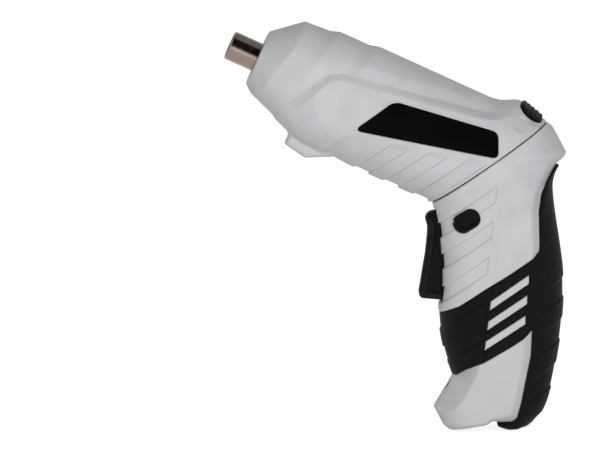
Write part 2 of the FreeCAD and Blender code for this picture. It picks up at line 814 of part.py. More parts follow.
def make_head():
    outer = cut("head_outer", head_turned("head_turned", "0"), nose_tools("", "0"))
    panel = make_panel()
    badge, badge_recess = make_badge()
    bump = make_bump("bump", "0")
    led_bump = plate("led_bump", [("-18", "72.6"), ("-25", "72"), ("-26.6", "63"), ("-22.6", "55.5"),
                                  ("-18", "55.5")],
                     "3.2 * lens_radius")
    below = turned_box("below_swivel_plane", ("-90", "-90", "-90"), ("90", "90", "floor_face"),
                       "swivel_tilt")
    form = cut("head_form", fuse("head_solid", [outer, panel, mirrored("panel_right", panel), bump,
                                                led_bump]),
               [below, groove_tools()])
    floor = turned_box("head_floor", ("-90", "-90", "-90"), ("90", "90", "floor_inner"), "swivel_tilt")
    hollow = cut("head_hollow", head_turned("head_hollow_turned", "head_wall"),
                 nose_tools("_hollow", "head_wall") + [floor])
    seats = []
    for number, spot in enumerate(("can_back + 4", "motor_front - 6")):
        seats.append(tube("motor_seat_%d" % number, "motor_radius", "cavity_radius + 0.5", spot,
                          spot + " + seat_width"))
    for number, spot in enumerate(("gear_back + 3", "gear_front - 4 - seat_width")):
        seats.append(tube("gearbox_seat_%d" % number, "ring_outer_radius", "cavity_radius + 0.5", spot,
                          spot + " + seat_width"))
    seats.append(tube("nose_seat", "boss_radius", "head_radius * 0.86", "bush_front - 4",
                      "bush_front - 4 + seat_width"))
    bosses = screw_bosses("head", HEAD_SCREWS, "head_radius * 0.7")
    lock_well = lock_form("lock_well", "1.6 + slide_clearance",
                          "lock_proud - lock_height - lock_travel - 3", "12")
    inner = common("head_inner", [fuse("head_seats", seats + bosses + [lock_well]), form])
    hub_hole = turned_bar("head_hub_hole", "hub_radius", "-30", "30", "swivel_tilt")
    nose_hole = cylinder("nose_hole", "chuck_radius + nose_clearance", "20", z="nose_face - 10")
    lens_hole = cylinder("lens_hole", "lens_radius", "lens_length + 1", x="-22", z="72.6 - lens_length")
    board_slot = box("led_board_slot", ("-25", "-2.6", "72.6 - lens_length - board_thickness"),
                     ("-18", "2.6", "72.6 - lens_length"))
    pocket = lock_form("lock_pocket", "slide_clearance", "lock_proud - lock_height - lock_travel - 0.5",
                       "14")
    room = fuse("head_room", [cylinder("motor_room", "motor_radius", "motor_front - motor_setback + 1",
                                       z="motor_setback - 1"),
                              cylinder("gear_room", "ring_outer_radius", "cover_front - motor_front",
                                       z="motor_front"),
                              cylinder("boss_room", "boss_radius", "nose_face - cover_front - nose_wall",
                                       z="cover_front")])
    hub_room = turned_bar("head_hub_room", "hub_flange_radius + 0.3", "floor_inner",
                          "floor_inner + hub_flange_thickness + 0.3", "swivel_tilt")
    tools = [hub_hole, nose_hole, lens_hole, board_slot, pocket, badge_recess,
             mirrored("badge_recess_right", badge_recess),
             room, hub_room] + screw_holes("head", HEAD_SCREWS, "head_radius * 0.35")
    shell = cut("head_shell", fuse("head_wall_and_seats", [cut("head_skin", form, [hollow]), inner]), tools)
    halves("head_shell", shell, in_head)
    in_head("badge_left", badge)
    in_head("badge_right", mirrored("badge_right_form", badge))
    in_head("head_screws", screw_set("head_screws_form", HEAD_SCREWS, "head_radius * 0.35"))
    block = lock_form("lock_button_block", "0", "lock_proud - lock_height", "lock_height + 1")
    in_head("lock_button", common("lock_button_form", [block, make_bump("lock_face", "lock_proud")]))
    make_lock_spring()
    in_head("work_light_lens", cylinder("lens_form", "lens_radius", "lens_length - 0.4", x="-22",
                                        z="72.6 - lens_length"))
    in_head("work_light_board", box("led_board_form", ("-24.8", "-2.5",
                                                       "72.6 - lens_length - board_thickness"),
                                    ("-18.5", "2.5", "72.6 - lens_length")))


def lead_pair(name, points, start_way, end_way):
    """Two insulated leads side by side, swept along a smooth line through points of the XZ plane."""
    radius = value("lead_radius")
    wires = []
    for shift in (-1.05 * radius, 1.05 * radius):
        curve = Part.BSplineCurve()
        curve.interpolate(Points=[Vector(value(x), shift, value(z)) for x, z in points],
                          InitialTangent=start_way, FinalTangent=end_way)
        start = curve.value(curve.FirstParameter)
        profile = Part.Circle(start, curve.tangent(curve.FirstParameter)[0], radius)
        wires.append(Part.Wire(curve.toShape()).makePipe(Part.Face(Part.Wire(profile.toShape()))))
    return gear_feature(name, Part.makeCompound(wires))


def make_leads():
    """Leads through the hollow hub; they part at the swivel plane, where the head turns."""
    tilt = math.radians(value("swivel_tilt"))
    out_of_plane = Vector(-math.sin(tilt), 0, -math.cos(tilt))
    in_head("motor_leads", lead_pair("motor_leads_form", [
        ("4", "motor_setback"), ("3.8", "motor_setback - 2.5"), ("5 * sin(swivel_tilt)",
                                                                 "5 * cos(swivel_tilt)"),
        ("0.2 * sin(swivel_tilt)", "0.2 * cos(swivel_tilt)")], Vector(0, 0, -1), out_of_plane))
    into_handle = Vector(math.sin(tilt), 0, -math.cos(tilt))
    in_handle("switch_leads", lead_pair("switch_leads_form", [
        ("0.2 * sin(swivel_tilt)", "-0.2 * cos(swivel_tilt)"), ("7 * sin(swivel_tilt)",
                                                                "-7 * cos(swivel_tilt)"),
        ("0.8", "-0.13 * handle_length"), ("-3.4", "-0.2 * handle_length"),
        ("switch_front + switch_depth - 1.2", "switch_bottom + switch_height")], into_handle, Vector(0, 0,
                -1)))


# Handle housing, drawn with X back, Z up and the swivel centre at the origin

SECTIONS = [
    # height as a share of the length, front and back as shares of the reaches, half width and corner
    (0.16, 0.975, 0.88, 1.21, 1.1),
    (-0.08, 0.985, 0.90, 1.17, 1.05),
    (-0.15, 0.965, 0.915, 1.12, 0.98),
    (-0.22, 0.925, 0.94, 1.06, 0.90),
    (-0.32, 0.915, 0.98, 1.02, 0.82),
    (-0.42, 0.92, 1.0, 1.0, 0.78),
    (-0.53, 0.99, 0.968, 1.0, 0.78),
    (-0.62, 0.965, 0.905, 0.988, 0.75),
    (-0.70, 0.925, 0.828, 0.965, 0.71),
    (-0.78, 0.845, 0.728, 0.935, 0.68),
    (-0.86, 0.80, 0.635, 0.91, 0.64),
    (-0.92, 0.77, 0.55, 0.87, 0.58),
    (-0.965, 0.73, 0.445, 0.80, 0.50),
    (-1.0, 0.62, 0.26, 0.62, 0.38),
]


def handle_loft(name, inset):
    """The grip's lofted form, or the same form set in by a thickness on every side."""
    sections = []
    for height, front, back, half, corner in SECTIONS:
        lift = inset if height < -0.8 else "0"
        sections.append((
            "%s * handle_length + %s" % (height, lift), "%s - %s * front_reach" % (inset, front),
            "%s * back_reach - %s" % (back, inset), "%s * half_width - %s" % (half, inset),
            "%s * half_width - %s" % (corner, inset)))
    return loft(name, sections)


def side(x, z):
    """A point of the side view that keeps its place when the reaches or the length change."""
    reach = "front_reach / 22.5" if x < 0 else "back_reach / 25"
    return ("%s * %s" % (x, reach), "%s * handle_length / 100" % z)


def side_outline(points):
    return [side(x, z) for x, z in points]


GRIP = [
    (-45, -54), (-22.1, -54), (-15, -51.6), (-6.2, -46.7), (5, -40.9), (13.7, -35.9), (16.2, -33.4),
    (16.5, -31), (17.2, -18.6), (18.7, -12.4), (21.2, -9), (25, -5), (45, -5), (45, -115), (-3.8, -115),
    (-3.8, -97.7), (1.2, -97), (3.1, -95.2), (5, -90), (7.5, -81), (10, -72.2), (11.2, -62.6),
    (8.1, -65.4), (2.5, -68.5), (-7.5, -73.3), (-14.4, -75.5), (-17.8, -77.7), (-45, -77.7)]

TRIGGER = [
    (-17.6, -16.8), (-21.6, -16.4), (-23.1, -16.6), (-24.5, -17.6), (-25, -19), (-24.4, -22), (-24.7, -25),
    (-26, -32), (-28, -40), (-29.5, -46.2), (-29.4, -47.6), (-28.6, -48.6), (-20.2, -50), (-19.3, -49.3),
    (-18.2, -36), (-14.9, -24), (-14.9, -18.2), (-15.8, -17)]

HANDLE_SCREWS = [side(20.5, 1.2), side(-4.3, -13.6), side(-14.5, -59), side(9.2, -91.2), side(-20.6, -93)]


def stripe(number):
    """One of the shell's bars that show through the soft grip."""
    left = -3.1 - 1.3 * number
    right = 12.25 - 1.1 * number
    high = [side(left, -50.5 - 7.5 * number), side(right, -41.7 - 7.6 * number)]
    low = [(x, z + " - stripe_height") for x, z in reversed(high)]
    return plate("stripe_%d" % number, high + low, "40")


def pad_gap(number):
    """A band of the front that lies lower than the shell around it, with an upright end."""
    right = 2.7 - 2.6 * number
    top = -7.2 - 13.25 * number
    end = right - 1.25
    points = [(right, top), (end, top - 6.5), (-30, top - 6.5 - 0.589 * (end + 30)),
              (-30, top - 0.589 * (right + 30))]
    return plate("pad_gap_%d" % number, side_outline(points), "40")


def side_sections(rows):
    """Loft sections from rows of height, front, back, half width and corner, scaled with the handle."""
    sections = []
    for height, front, back, half, corner in rows:
        low, high = side(front, height), side(back, height)
        sections.append((low[1], low[0], high[0], "%s * half_width / 18" % half,
                         "%s * half_width / 18" % corner))
    return sections


def make_toe():
    """The forward foot: an upright block, and the round flare whose slope holds the charge port."""
    block = loft("toe_block", side_sections([
        (-72, -27.6, 2, 15.8, 5.5), (-90, -27, 2, 15.8, 5.5), (-96.5, -24.2, 2, 14.6, 5.5),
        (-98.3, -22.4, 2, 13, 5)]))
    flare = loft("toe_flare", side_sections([
        (-72, -13.7, 30, 18.5, 13.5), (-89.6, -26.9, 30, 18.5, 17.5), (-101, -35.5, 30, 18.5, 17.5)]))
    return common("toe", [block, flare])


def make_shoulder():
    """The shoulder behind the swivel, turned about an upright axis."""
    turned = lathe("shoulder_turned", [
        ("0", "-12"), ("shoulder_reach - 16", "-12"), ("shoulder_reach - 12.4", "-5"),
        ("shoulder_reach - 8", "1.5"), ("shoulder_reach - 12.4", "11.5"), ("shoulder_reach - 14", "14"),
        ("0", "14")])
    return place(wrapped("shoulder", turned), x="8")


def at_port(name, low, high):
    """A box in the charge port's frame: X into the toe, Z up the slope."""
    x, z = side(-20.9, -81.6)
    return place(wrapped(name, box(name + "_flat", low, high)), x, "0", z, Vector(0, 1, 0), "toe_slope")


def battery_bar(name, radius, start, length):
    """A bar on the battery's leaning axis, from its foot."""
    bar = cylinder(name + "_bar", radius, length, z=start)
    return place(wrapped(name, bar), "battery_x - battery_length * sin(battery_lean)", "0",
                 "-battery_top_room - battery_length * cos(battery_lean)", Vector(0, 1, 0), "battery_lean")


def stadium(name, grow, low, high):
    """The selector's rounded bar across the handle, tilted like the swivel."""
    body = body_named(name)
    half_length = "selector_length / 2 + " + grow
    half_height = "selector_height / 2 + " + grow
    sketch = rounded(body, name + "_outline", low, "-(%s)" % half_height, half_height, half_length,
                     "0.97 * (%s)" % half_height)
    pad = body.newObject("PartDesign::Pad", name + "_pad")
    pad.Profile = sketch
    bind(pad, "Length", "(%s) - (%s)" % (high, low))
    body.Tip = pad
    flat = place(wrapped(name + "_flat", body), axis=Vector(1, 1, 1), angle="-120")
    return place(wrapped(name + "_turned", flat), "selector_x", "0", "selector_z", Vector(0, 1, 0), "-28")


def make_handle():
    grip_loft = handle_loft("handle_loft", "0")
    core = handle_loft("handle_core", "rubber_thickness")
    above = turned_box("above_swivel_plane", ("-90", "-90", "-floor_face"), ("90", "90", "90"),
                       "-swivel_tilt")
    form = cut("handle_form", fuse("handle_solid", [grip_loft, make_toe(), make_shoulder()]), [above])
    stripes = [stripe(number) for number in range(3)]
    soft = cut("grip_region", plate("grip_side", side_outline(GRIP), "40"), [core] + stripes)
    skin_in = handle_loft("pad_level", "pad_rise")
    gaps = cut("pad_gaps", fuse("pad_gap_bands", [pad_gap(number) for number in range(3)]), [skin_in])
    foot = box("below_foot", ("-60", "-60", "-2 * handle_length"), ("60", "60", "-0.983 * handle_length"))
    hard = cut("handle_hard", form, [soft, gaps, foot])
    hollow = cut("handle_hollow", handle_loft("handle_hollow_loft", "skin"), [
        turned_box("handle_floor", ("-90", "-90", "-floor_inner"), ("90", "90", "90"), "-swivel_tilt")])
    ribs = [battery_rib(number) for number in range(3)]
    cradle = box("switch_cradle", ("switch_front - 1.2", "-half_width", "switch_bottom - 2"),
                 ("switch_front + switch_depth + 1.2", "half_width", "switch_bottom + 2.5"))
    pin_boss = cross_bar("trigger_pin_boss", "trigger_pin_radius + 2", "half_width * 0.95", "trigger_x",
                         "trigger_z")
    bosses = screw_bosses("handle", HANDLE_SCREWS, "half_width * 0.95")
    inner = common("handle_inner", [fuse("handle_ribs", ribs + [cradle, pin_boss] + bosses), core, form])
    gap = "trigger_width / 2 + trigger_clearance"
    slot = box("trigger_slot", ("-45", "-(%s)" % gap, "-0.504 * handle_length"),
               ("8.2 - front_reach", gap, "-0.156 * handle_length"))
    pin_hole = cross_bar("trigger_pin_hole", "trigger_pin_radius", "trigger_width / 2 + 3", "trigger_x",
                         "trigger_z")
    hub_hole = turned_bar("handle_hub_hole", "hub_radius + running_clearance", "-30", "30", "-swivel_tilt")
    hub_room = turned_bar("handle_hub_room", "hub_flange_radius + 0.3",
                          "-floor_inner - hub_flange_thickness - 0.5",
                          "-floor_inner", "-swivel_tilt")
    rooms = [battery_bar("battery_room", "battery_radius", "0", "battery_length"),
             switch_box("switch_room"),
             at_port("port_hole", ("-8", "-port_width / 2", "-port_height / 2"),
                     ("port_depth", "port_width / 2", "port_height / 2")),
             at_port("port_room", ("2", "-8", "-port_height / 2 - board_thickness"), ("15", "8", "4")),
             stadium("selector_hole", "slide_clearance", "-50", "50")]
    holes = screw_holes("handle", HANDLE_SCREWS, "screw_seat")
    shell = cut("handle_shell", fuse("handle_wall_and_ribs", [cut("handle_skin", hard, [hollow]), inner]),
                [slot, pin_hole, hub_hole, hub_room] + rooms + holes)
    halves("handle_shell", shell, in_handle)
    halves("grip", cut("grip", common("grip_form", [form, soft]), holes), in_handle)
    in_handle("handle_screws", screw_set("handle_screws_form", HANDLE_SCREWS, "screw_seat"))


def battery_rib(number):
    """A rib that holds the back of the battery."""
    low = "-battery_top_room - battery_length * %s" % (0.2 + 0.3 * number)
    return box("battery_rib_%d" % number, ("battery_x - 7 - battery_length * 0.03 * %d" % number,
                                           "-half_width", low),
               ("2 * back_reach", "half_width", low + " + 2"))


def switch_box(name):
    return box(name, ("switch_front", "-switch_width / 2", "switch_bottom"),
               ("switch_front + switch_depth", "switch_width / 2", "switch_bottom + switch_height"))


def make_controls():
    lever = plate("trigger_lever", side_outline(TRIGGER), "trigger_width / 2")
    pivot = cross_bar("trigger_pivot_hole", "trigger_pin_radius + running_clearance", "trigger_width",
                      "trigger_x",
                      "trigger_z")
    in_handle("trigger", cut("trigger_form", lever, [pivot]))
    in_handle("trigger_pin", cross_bar("trigger_pin_form", "trigger_pin_radius", "trigger_width / 2 + 3",
                                       "trigger_x",
                                       "trigger_z"))
    height = "-0.42 * handle_length"
    tip = "switch_front - 4.9"
    bore = cylinder("plunger_bore", "plunger_radius + running_clearance", "6", "switch_front - 0.5", "0",
                    height, "x")
    tab_slot = box("selector_tab_slot", ("selector_x - 1.6", "-selector_throw - 1.6",
                                         "switch_bottom + switch_height - 3.2"),
                   ("selector_x + 1.6", "selector_throw + 1.6", "0"))
    in_handle("switch_module", cut("switch_module_form", switch_box("switch_block"), [bore, tab_slot]))
    rod = cylinder("plunger_rod", "plunger_radius", "switch_front - (%s) + 0.8" % tip, tip, "0", height,
                   "x")
    in_handle("switch_plunger", rod)
    side_face = "half_width * 1.005 + selector_proud"
    caps = [stadium("selector_cap_left", "0", "-(%s)" % side_face, "-0.7 * half_width"),
            stadium("selector_cap_right", "0", "0.7 * half_width", side_face)]
    bar = cross_bar("selector_bar", "selector_height * 0.36", "0.75 * half_width", "selector_x",
                    "selector_z")
    tab = box("selector_tab", ("selector_x - 1.2", "-1.2", "switch_bottom + switch_height - 2.6"),
              ("selector_x + 1.2", "1.2", "selector_z"))
    in_handle("direction_selector", fuse("selector_form", caps + [bar, tab]))


def make_power():
    cell = battery_bar("battery", "battery_radius", "0.6", "battery_length - 1.2")
    in_handle("battery_cell", cell)
    tabs = [battery_bar("battery_foot_tab", "battery_radius * 0.5", "0", "0.6"),
            battery_bar("battery_top_tab", "battery_radius * 0.5", "battery_length - 0.6", "0.6")]
    group = doc.addObject("Part::Compound", "battery_tabs_form")
    group.Links = tabs
    in_handle("battery_tabs", group)
    shell = at_port("port_shell", ("0.3", "-port_width / 2", "-port_height / 2"),
                    ("port_depth", "port_width / 2", "port_height / 2"))
    mouth = at_port("port_mouth", ("-1", "-port_width / 2 + 0.35", "-port_height / 2 + 0.35"),
                    ("port_depth - 1", "port_width / 2 - 0.35", "port_height / 2 - 0.35"))
    tongue = at_port("port_tongue", ("1.2", "-port_width / 2 + 1.2", "-0.35"),
                     ("port_depth - 0.5", "port_width / 2 - 1.2", "0.35"))
    in_handle("charge_port", fuse("charge_port_form", [cut("port_can", shell, [mouth]), tongue]))
    board = at_port("charge_board_form", ("2", "-8", "-port_height / 2 - board_thickness"),
                    ("14", "8", "-port_height / 2"))
    in_handle("charge_board", board)


make_gearbox()
make_motor()
make_spindle()
make_hub()
make_head()
make_handle()
make_controls()
make_power()
make_leads()
doc.recompute()

# Checks and files


def check_all():
    for thing in doc.Objects:
        if "Invalid" in thing.State or "Error" in thing.State:
            raise RuntimeError("%s: %s" % (thing.Name, thing.State))
    for label, thing in PIECES.items():
        shape = thing.Shape
        if shape.isNull() or not shape.isValid() or shape.Volume <= 0:
            raise RuntimeError("%s has no sound shape" % label)


check_all()
os.makedirs("parts", exist_ok=True)
for label, thing in PIECES.items():
    thing.Shape.exportStep("parts/%s.step" % label)
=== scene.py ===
"""A folding electric screwdriver in pistol form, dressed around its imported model.

The moulded pieces are drawn as fields: functions of a point that are negative inside the piece. Their zero
level becomes the mesh. Lengths of the fields are millimetres, in frames at the swivel centre.
"""
import json
import math

import bpy
import numpy as np
from mathutils import Matrix, Vector


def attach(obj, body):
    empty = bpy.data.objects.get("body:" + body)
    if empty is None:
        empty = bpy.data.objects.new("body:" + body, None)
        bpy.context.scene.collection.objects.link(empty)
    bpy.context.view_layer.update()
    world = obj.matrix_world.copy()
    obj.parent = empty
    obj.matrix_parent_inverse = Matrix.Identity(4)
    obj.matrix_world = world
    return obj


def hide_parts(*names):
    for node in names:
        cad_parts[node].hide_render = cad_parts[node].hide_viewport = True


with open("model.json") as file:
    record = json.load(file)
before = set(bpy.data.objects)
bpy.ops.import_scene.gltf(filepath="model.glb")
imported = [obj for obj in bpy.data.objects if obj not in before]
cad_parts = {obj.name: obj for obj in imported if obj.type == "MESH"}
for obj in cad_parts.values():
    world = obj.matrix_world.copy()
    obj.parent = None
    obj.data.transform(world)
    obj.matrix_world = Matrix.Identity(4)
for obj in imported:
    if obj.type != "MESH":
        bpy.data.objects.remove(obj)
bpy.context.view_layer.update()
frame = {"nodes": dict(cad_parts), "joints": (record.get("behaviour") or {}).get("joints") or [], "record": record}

MM = 0.001
NODES = frame["nodes"]
JOINTS = {joint["name"]: joint for joint in frame["joints"]}
SWIVEL = Vector(JOINTS["head_swivel"]["pos_m"])
TILT = math.acos(JOINTS["head_swivel"]["axis"][2])
HEAD_AXIS = Vector(JOINTS["motor_spin"]["axis"])
ACROSS = Vector((0, 1, 0))


def local_frame(x_axis, z_axis):
    """A frame at the swivel centre whose unit is a millimetre."""
    turned = Matrix((x_axis, ACROSS, z_axis)).transposed() * MM
    matrix = turned.to_4x4()
    matrix.translation = SWIVEL
    return matrix


# Head pieces have X up and Z to the tip; handle pieces have X back and Z up
HEAD = local_frame(ACROSS.cross(HEAD_AXIS), HEAD_AXIS)
HANDLE = local_frame(Vector((1, 0, 0)), Vector((0, 0, 1)))


# Fields


class Grid:
    """Sample points of a box, as three arrays that broadcast together."""

    def __init__(self, low, high, step):
        self.low = np.array(low, np.float32)
        self.step = step * 1.0
        lines = [np.arange(a, b + self.step, self.step, dtype=np.float32) for a, b in zip(low, high)]
        self.x = lines[0][:, None, None]
        self.y = lines[1][None, :, None]
        self.z = lines[2][None, None, :]
        self.side = np.abs(self.y)


def ramp(start, end, value):
    """A soft step from 0 at start to 1 at end."""
    t = np.clip((value - start) / (end - start), 0.0, 1.0)
    return t * t * (3.0 - 2.0 * t)


def meet(a, b, soft):
    """Where both fields are inside, with the edge rounded over the length soft."""
    blend = np.maximum(soft - np.abs(a - b), 0.0) / soft
    return np.maximum(a, b) + blend * blend * soft / 4.0


def join(a, b, soft):
    """Where either field is inside, with the inner corner filled over the length soft."""
    return -meet(-a, -b, soft)


def carve(a, tool, soft):
    return meet(a, -tool, soft)


def outline(points, a, b):
    """Signed distance from a closed outline, drawn in two coordinates."""
    shape = np.broadcast(a, b).shape
    nearest = np.full(shape, 1e9, np.float32)
    outside = np.ones(shape, np.float32)
    for (a0, b0), (a1, b1) in zip(points, points[1:] + points[:1]):
        ea, eb = a1 - a0, b1 - b0
        wa, wb = a - a0, b - b0
        share = np.clip((wa * ea + wb * eb) / (ea * ea + eb * eb), 0.0, 1.0)
        nearest = np.minimum(nearest, (wa - ea * share) ** 2 + (wb - eb * share) ** 2)
        above, below, left = b >= b0, b < b1, ea * wb > eb * wa
        crosses = (above & below & left) | ~(above | below | left)
        outside = np.where(crosses, -outside, outside)
    return outside * np.sqrt(nearest)


def rounded_box(a, b, half_a, half_b, radius):
    """Signed distance from a rounded rectangle about the origin of two coordinates."""
    qa = np.abs(a) - half_a + radius
    qb = np.abs(b) - half_b + radius
    return np.hypot(np.maximum(qa, 0), np.maximum(qb, 0)) + np.minimum(np.maximum(qa, qb), 0) - radius


def smooth_line(places, values, z, spread):
    """A curve through a short list of values, with its corners softened over the length spread."""
    shifts = (-1.0, -0.5, 0.0, 0.5, 1.0)
    return sum(np.interp(z + spread * shift, places, values) for shift in shifts) / len(shifts)


# From fields to meshes

CORNERS = [(i, j, k) for i in (0, 1) for j in (0, 1) for k in (0, 1)]
EDGES = [(a, b) for a in range(8) for b in range(a + 1, 8)
         if sum(p != q for p, q in zip(CORNERS[a], CORNERS[b])) == 1]


def cell_points(grid, field, cells):
    """The mean of the places where the zero level crosses each cell's edges."""
    values = [field[cells[:, 0] + i, cells[:, 1] + j, cells[:, 2] + k] for i, j, k in CORNERS]
    total = np.zeros((len(cells), 3), np.float32)
    hits = np.zeros((len(cells), 1), np.float32)
    for a, b in EDGES:
        crossing = (values[a] < 0) != (values[b] < 0)
        share = values[a][crossing] / (values[a][crossing] - values[b][crossing])
        start = np.array(CORNERS[a], np.float32)
        step = np.array(CORNERS[b], np.float32) - start
        total[crossing] += start + share[:, None] * step
        hits[crossing] += 1
    return grid.low + grid.step * (cells + total / hits)


def cell_quads(inside, index):
    """A quad around each grid edge that the zero level crosses, facing out."""
    quads = []
    for axis in range(3):
        here = np.moveaxis(inside, axis, 0)
        number = np.moveaxis(index, axis, 0)
        for solid_first in (True, False):
            solid, empty = (here[:-1], here[1:]) if solid_first else (here[1:], here[:-1])
            i, j, k = np.nonzero((solid & ~empty)[:, 1:-1, 1:-1])
            ring = [number[i, j, k], number[i, j + 1, k], number[i, j + 1, k + 1], number[i, j, k + 1]]
            # moveaxis keeps the other two axes in order, which turns the ring over for the middle axis
            facing = solid_first == (axis != 1)
            quads.append(np.stack(ring if facing else ring[::-1], axis=1))
    return np.concatenate(quads)


def surface(name, grid, field, placement, keep):
    """A mesh object on a field's zero level; keep is the share of its faces that stays."""
    inside = field < 0
    size = tuple(n - 1 for n in field.shape)
    count = np.zeros(size, np.int8)
    for i, j, k in CORNERS:
        count += inside[i:i + size[0], j:j + size[1], k:k + size[2]]
    crossed = (count > 0) & (count < 8)
    cells = np.argwhere(crossed)
    index = np.full(size, -1, np.int32)
    index[crossed] = np.arange(len(cells))
    points = cell_points(grid, field, cells)
    quads = cell_quads(inside, index)
    mesh = bpy.data.meshes.new(name)
    mesh.vertices.add(len(points))
    mesh.vertices.foreach_set("co", points.astype(np.float32).ravel())
    mesh.loops.add(quads.size)
    mesh.loops.foreach_set("vertex_index", quads.astype(np.int32).ravel())
    mesh.polygons.add(len(quads))
    mesh.polygons.foreach_set("loop_start", np.arange(0, quads.size, 4, dtype=np.int32))
    mesh.update(calc_edges=True)
    mesh.transform(placement)
    piece = bpy.data.objects.new(name, mesh)
    bpy.context.scene.collection.objects.link(piece)
    thin_out(piece, keep)
    piece.data.shade_smooth()
    return piece


def thin_out(piece, keep):
    """Merges faces where the surface is nearly flat."""
    modifier = piece.modifiers.new("thin out", "DECIMATE")
    modifier.ratio = keep
    evaluated = piece.evaluated_get(bpy.context.evaluated_depsgraph_get())
    dense = piece.data
    piece.data = bpy.data.meshes.new_from_object(evaluated)
    piece.modifiers.clear()
    bpy.data.meshes.remove(dense)


def sided(name, side):
    """The name of a left (side -1) or right (side 1) piece."""
    return name + ("_left" if side < 0 else "_right")


def finish_piece(piece, body, finishes, slot, *replaced):
    """Gives a piece its body, slot and that slot's material, and hides the nodes that it stands for."""
    piece.data.materials.clear()
    piece.data.materials.append(finishes[slot])
    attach(piece, body)
    if replaced:
        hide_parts(*replaced)


# Sizes that the head's and the handle's fields share

WALL = 2.2
RUBBER = 1.8
PLANE_GAP = 0.15
SEAM = 0.06
SKIN, TONGUE = 1.1, 0.6
SCREW_WELL, SCREW_BOSS, SCREW_FLOOR = 2.5, 1.4, 2.0
EDGE = 0.5
FINE, COARSE = 0.24, 0.32
HUB_RADIUS, HUB_PLAY, HUB_DEPTH = 9.0, 0.1, 6.0
UP_SHARE, ALONG_SHARE = math.sin(TILT), math.cos(TILT)


def bands(value, edges, soft=0.3):
    """1 between each pair of edges and 0 elsewhere."""
    return sum(ramp(a - soft, a + soft, value) - ramp(b - soft, b + soft, value) for a, b in edges)


def screw_wells(g, shell, outer, spots, seat):
    """Bosses and open wells for screws that go in from the right side."""
    for x, z in spots:
        rod = np.hypot(g.x - x, g.z - z)
        boss = np.maximum(np.maximum(rod - SCREW_WELL - SCREW_BOSS, seat - SCREW_FLOOR - g.y), outer)
        shell = join(shell, boss, 0.3)
        shell = carve(shell, np.maximum(rod - SCREW_WELL, seat - g.y), EDGE)
    return shell


def half(g, field, outer, side):
    """The left half (side -1) or the right one (side 1), whose tongue lies behind the left one's skin."""
    tongue = TONGUE * ramp(SKIN - 0.2, SKIN + 0.2, -outer)
    return meet(field, SEAM - side * (g.y + tongue), 0.25)


def half_grid(low, high, step, side):
    """A grid over one half: low and high are the whole housing's corners."""
    margin = 3 * step
    y_low, y_high = (low[1], margin) if side < 0 else (-margin, high[1])
    return Grid((low[0], y_low, low[2]), (high[0], y_high, high[2]), step)


# Head housing: X is up, Z is to the tip

HEAD_LOW, HEAD_HIGH = (-28.5, -25, -14), (28.5, 25, 96)
HEAD_RADIUS = 22.52
NOSE_FACE = 94.5
NOSE_RADIUS = 10.6
NOSE_SLOPE = 0.849
BAND_LEAN = 0.3
BODY_STEPS = [(60.8, 65.3, 1.0), (76, 80.5, 1.25)]
TAPER_START, TAPER_LENGTH, TAPER_DEPTH = 45, 35, 2.2
NECK, NECK_DEPTH = (79, 89), 0.55
SLANT_START = NOSE_FACE - 22.8
SLANT_RADIUS = 30.0
CHIN_REACH, CHIN_SLOPE = 21.0, math.radians(20)
CHIN_STEP, CHIN_STEP_DEPTH = (78.5, 81), 0.6
CHEEK_REACH, CHEEK_SLOPE = 20.9, math.radians(16)
CHEEK_TURN = math.radians(65)
CROWN_RADIUS = 28.0
PANEL_FACE = 22.95
PANEL_LEAN = math.tan(math.radians(0.7))
PANEL_BEVEL = 2.4
PANEL_RISE = 1.5
MOAT_WIDTH, MOAT_DEPTH = 5.0, 0.8
DIMPLE_SPOT, DIMPLE_RADIUS, DIMPLE_DEPTH = (18.6, -4.1), 2.8, 0.4
BUMP_RISE = 4.0
HEAD_SCREWS = [(14.6, 8), (-15, 29), (17.2, 57.5), (-12.5, 76.5)]
HEAD_SCREW_SEAT = 7.9
LENS_SPOT = (-22.0, 72.6)
LENS_RADIUS, LENS_PLAY = 2.1, 0.05
CHUCK_RADIUS, CHUCK_PLAY = 5.55, 0.35
BORE_DEPTH = 8.0
LOCK_ORIGIN = (24.8, -6.9)
LOCK_SLOPE = math.radians(15)
LOCK_HALF = (4.6, 10.5)
LOCK_CORNER = 3.85
LOCK_PROUD = 0.7
LOCK_DEPTH = 2.6
LOCK_BORE = 3.1
LOCK_TRAVEL = max(JOINTS["lock_press"]["range_m"]) / MM
LOCK_WELL_FLOOR, LOCK_WELL_WALL = 5.0, 1.5
RIDGE_PITCH, RIDGE_DEPTH = 1.9, 0.16

PANEL = [(-15.7, 81.5), (1.8, 71), (6.2, 68.4), (8.5, 64), (17.2, 9.5), (19, 5.5), (22.5, 1), (22.5, -20),
         (-3, -12), (1.2, 0), (-10.2, 47.5), (-13.5, 52), (-24, 57.5), (-24, 70)]
RIBBED = [(-15.5, 54), (-9.6, 47.5), (2, 0), (-6, -4), (-40, 10), (-40, 60), (-24, 57)]
RIB_EDGES, RIB_DEPTH = [(1.3, 6.5), (11.8, 17.0), (22.3, 27.5)], 0.8
BADGE = [(-8.6, 51.2), (4.0, -1.6), (12.7, 2.2), (7.3, 42.1)]
BADGE_CORNER, BADGE_DEPTH = 2.4, 1.4
RIM_SPOT, RIM_HALF, RIM_RISE = 0.5, 0.34, 0.2
LIGHT_BUMP = [(-16, 72.6), (-25, 72), (-26.6, 63), (-22.4, 54.5), (-16, 54.5)]
LIGHT_BUMP_HALF = 6.6


def swivel_height(g):
    """Height above the swivel plane, in the head's frame."""
    return UP_SHARE * g.x + ALONG_SHARE * g.z


def slanted_face(g, out, across, reach, slope):
    """A broad round face that closes in on the head's axis towards the tip."""
    depth = (out - reach) * math.cos(slope) + (g.z - SLANT_START) * math.sin(slope)
    return np.hypot(np.maximum(depth + SLANT_RADIUS, 0), across) - SLANT_RADIUS


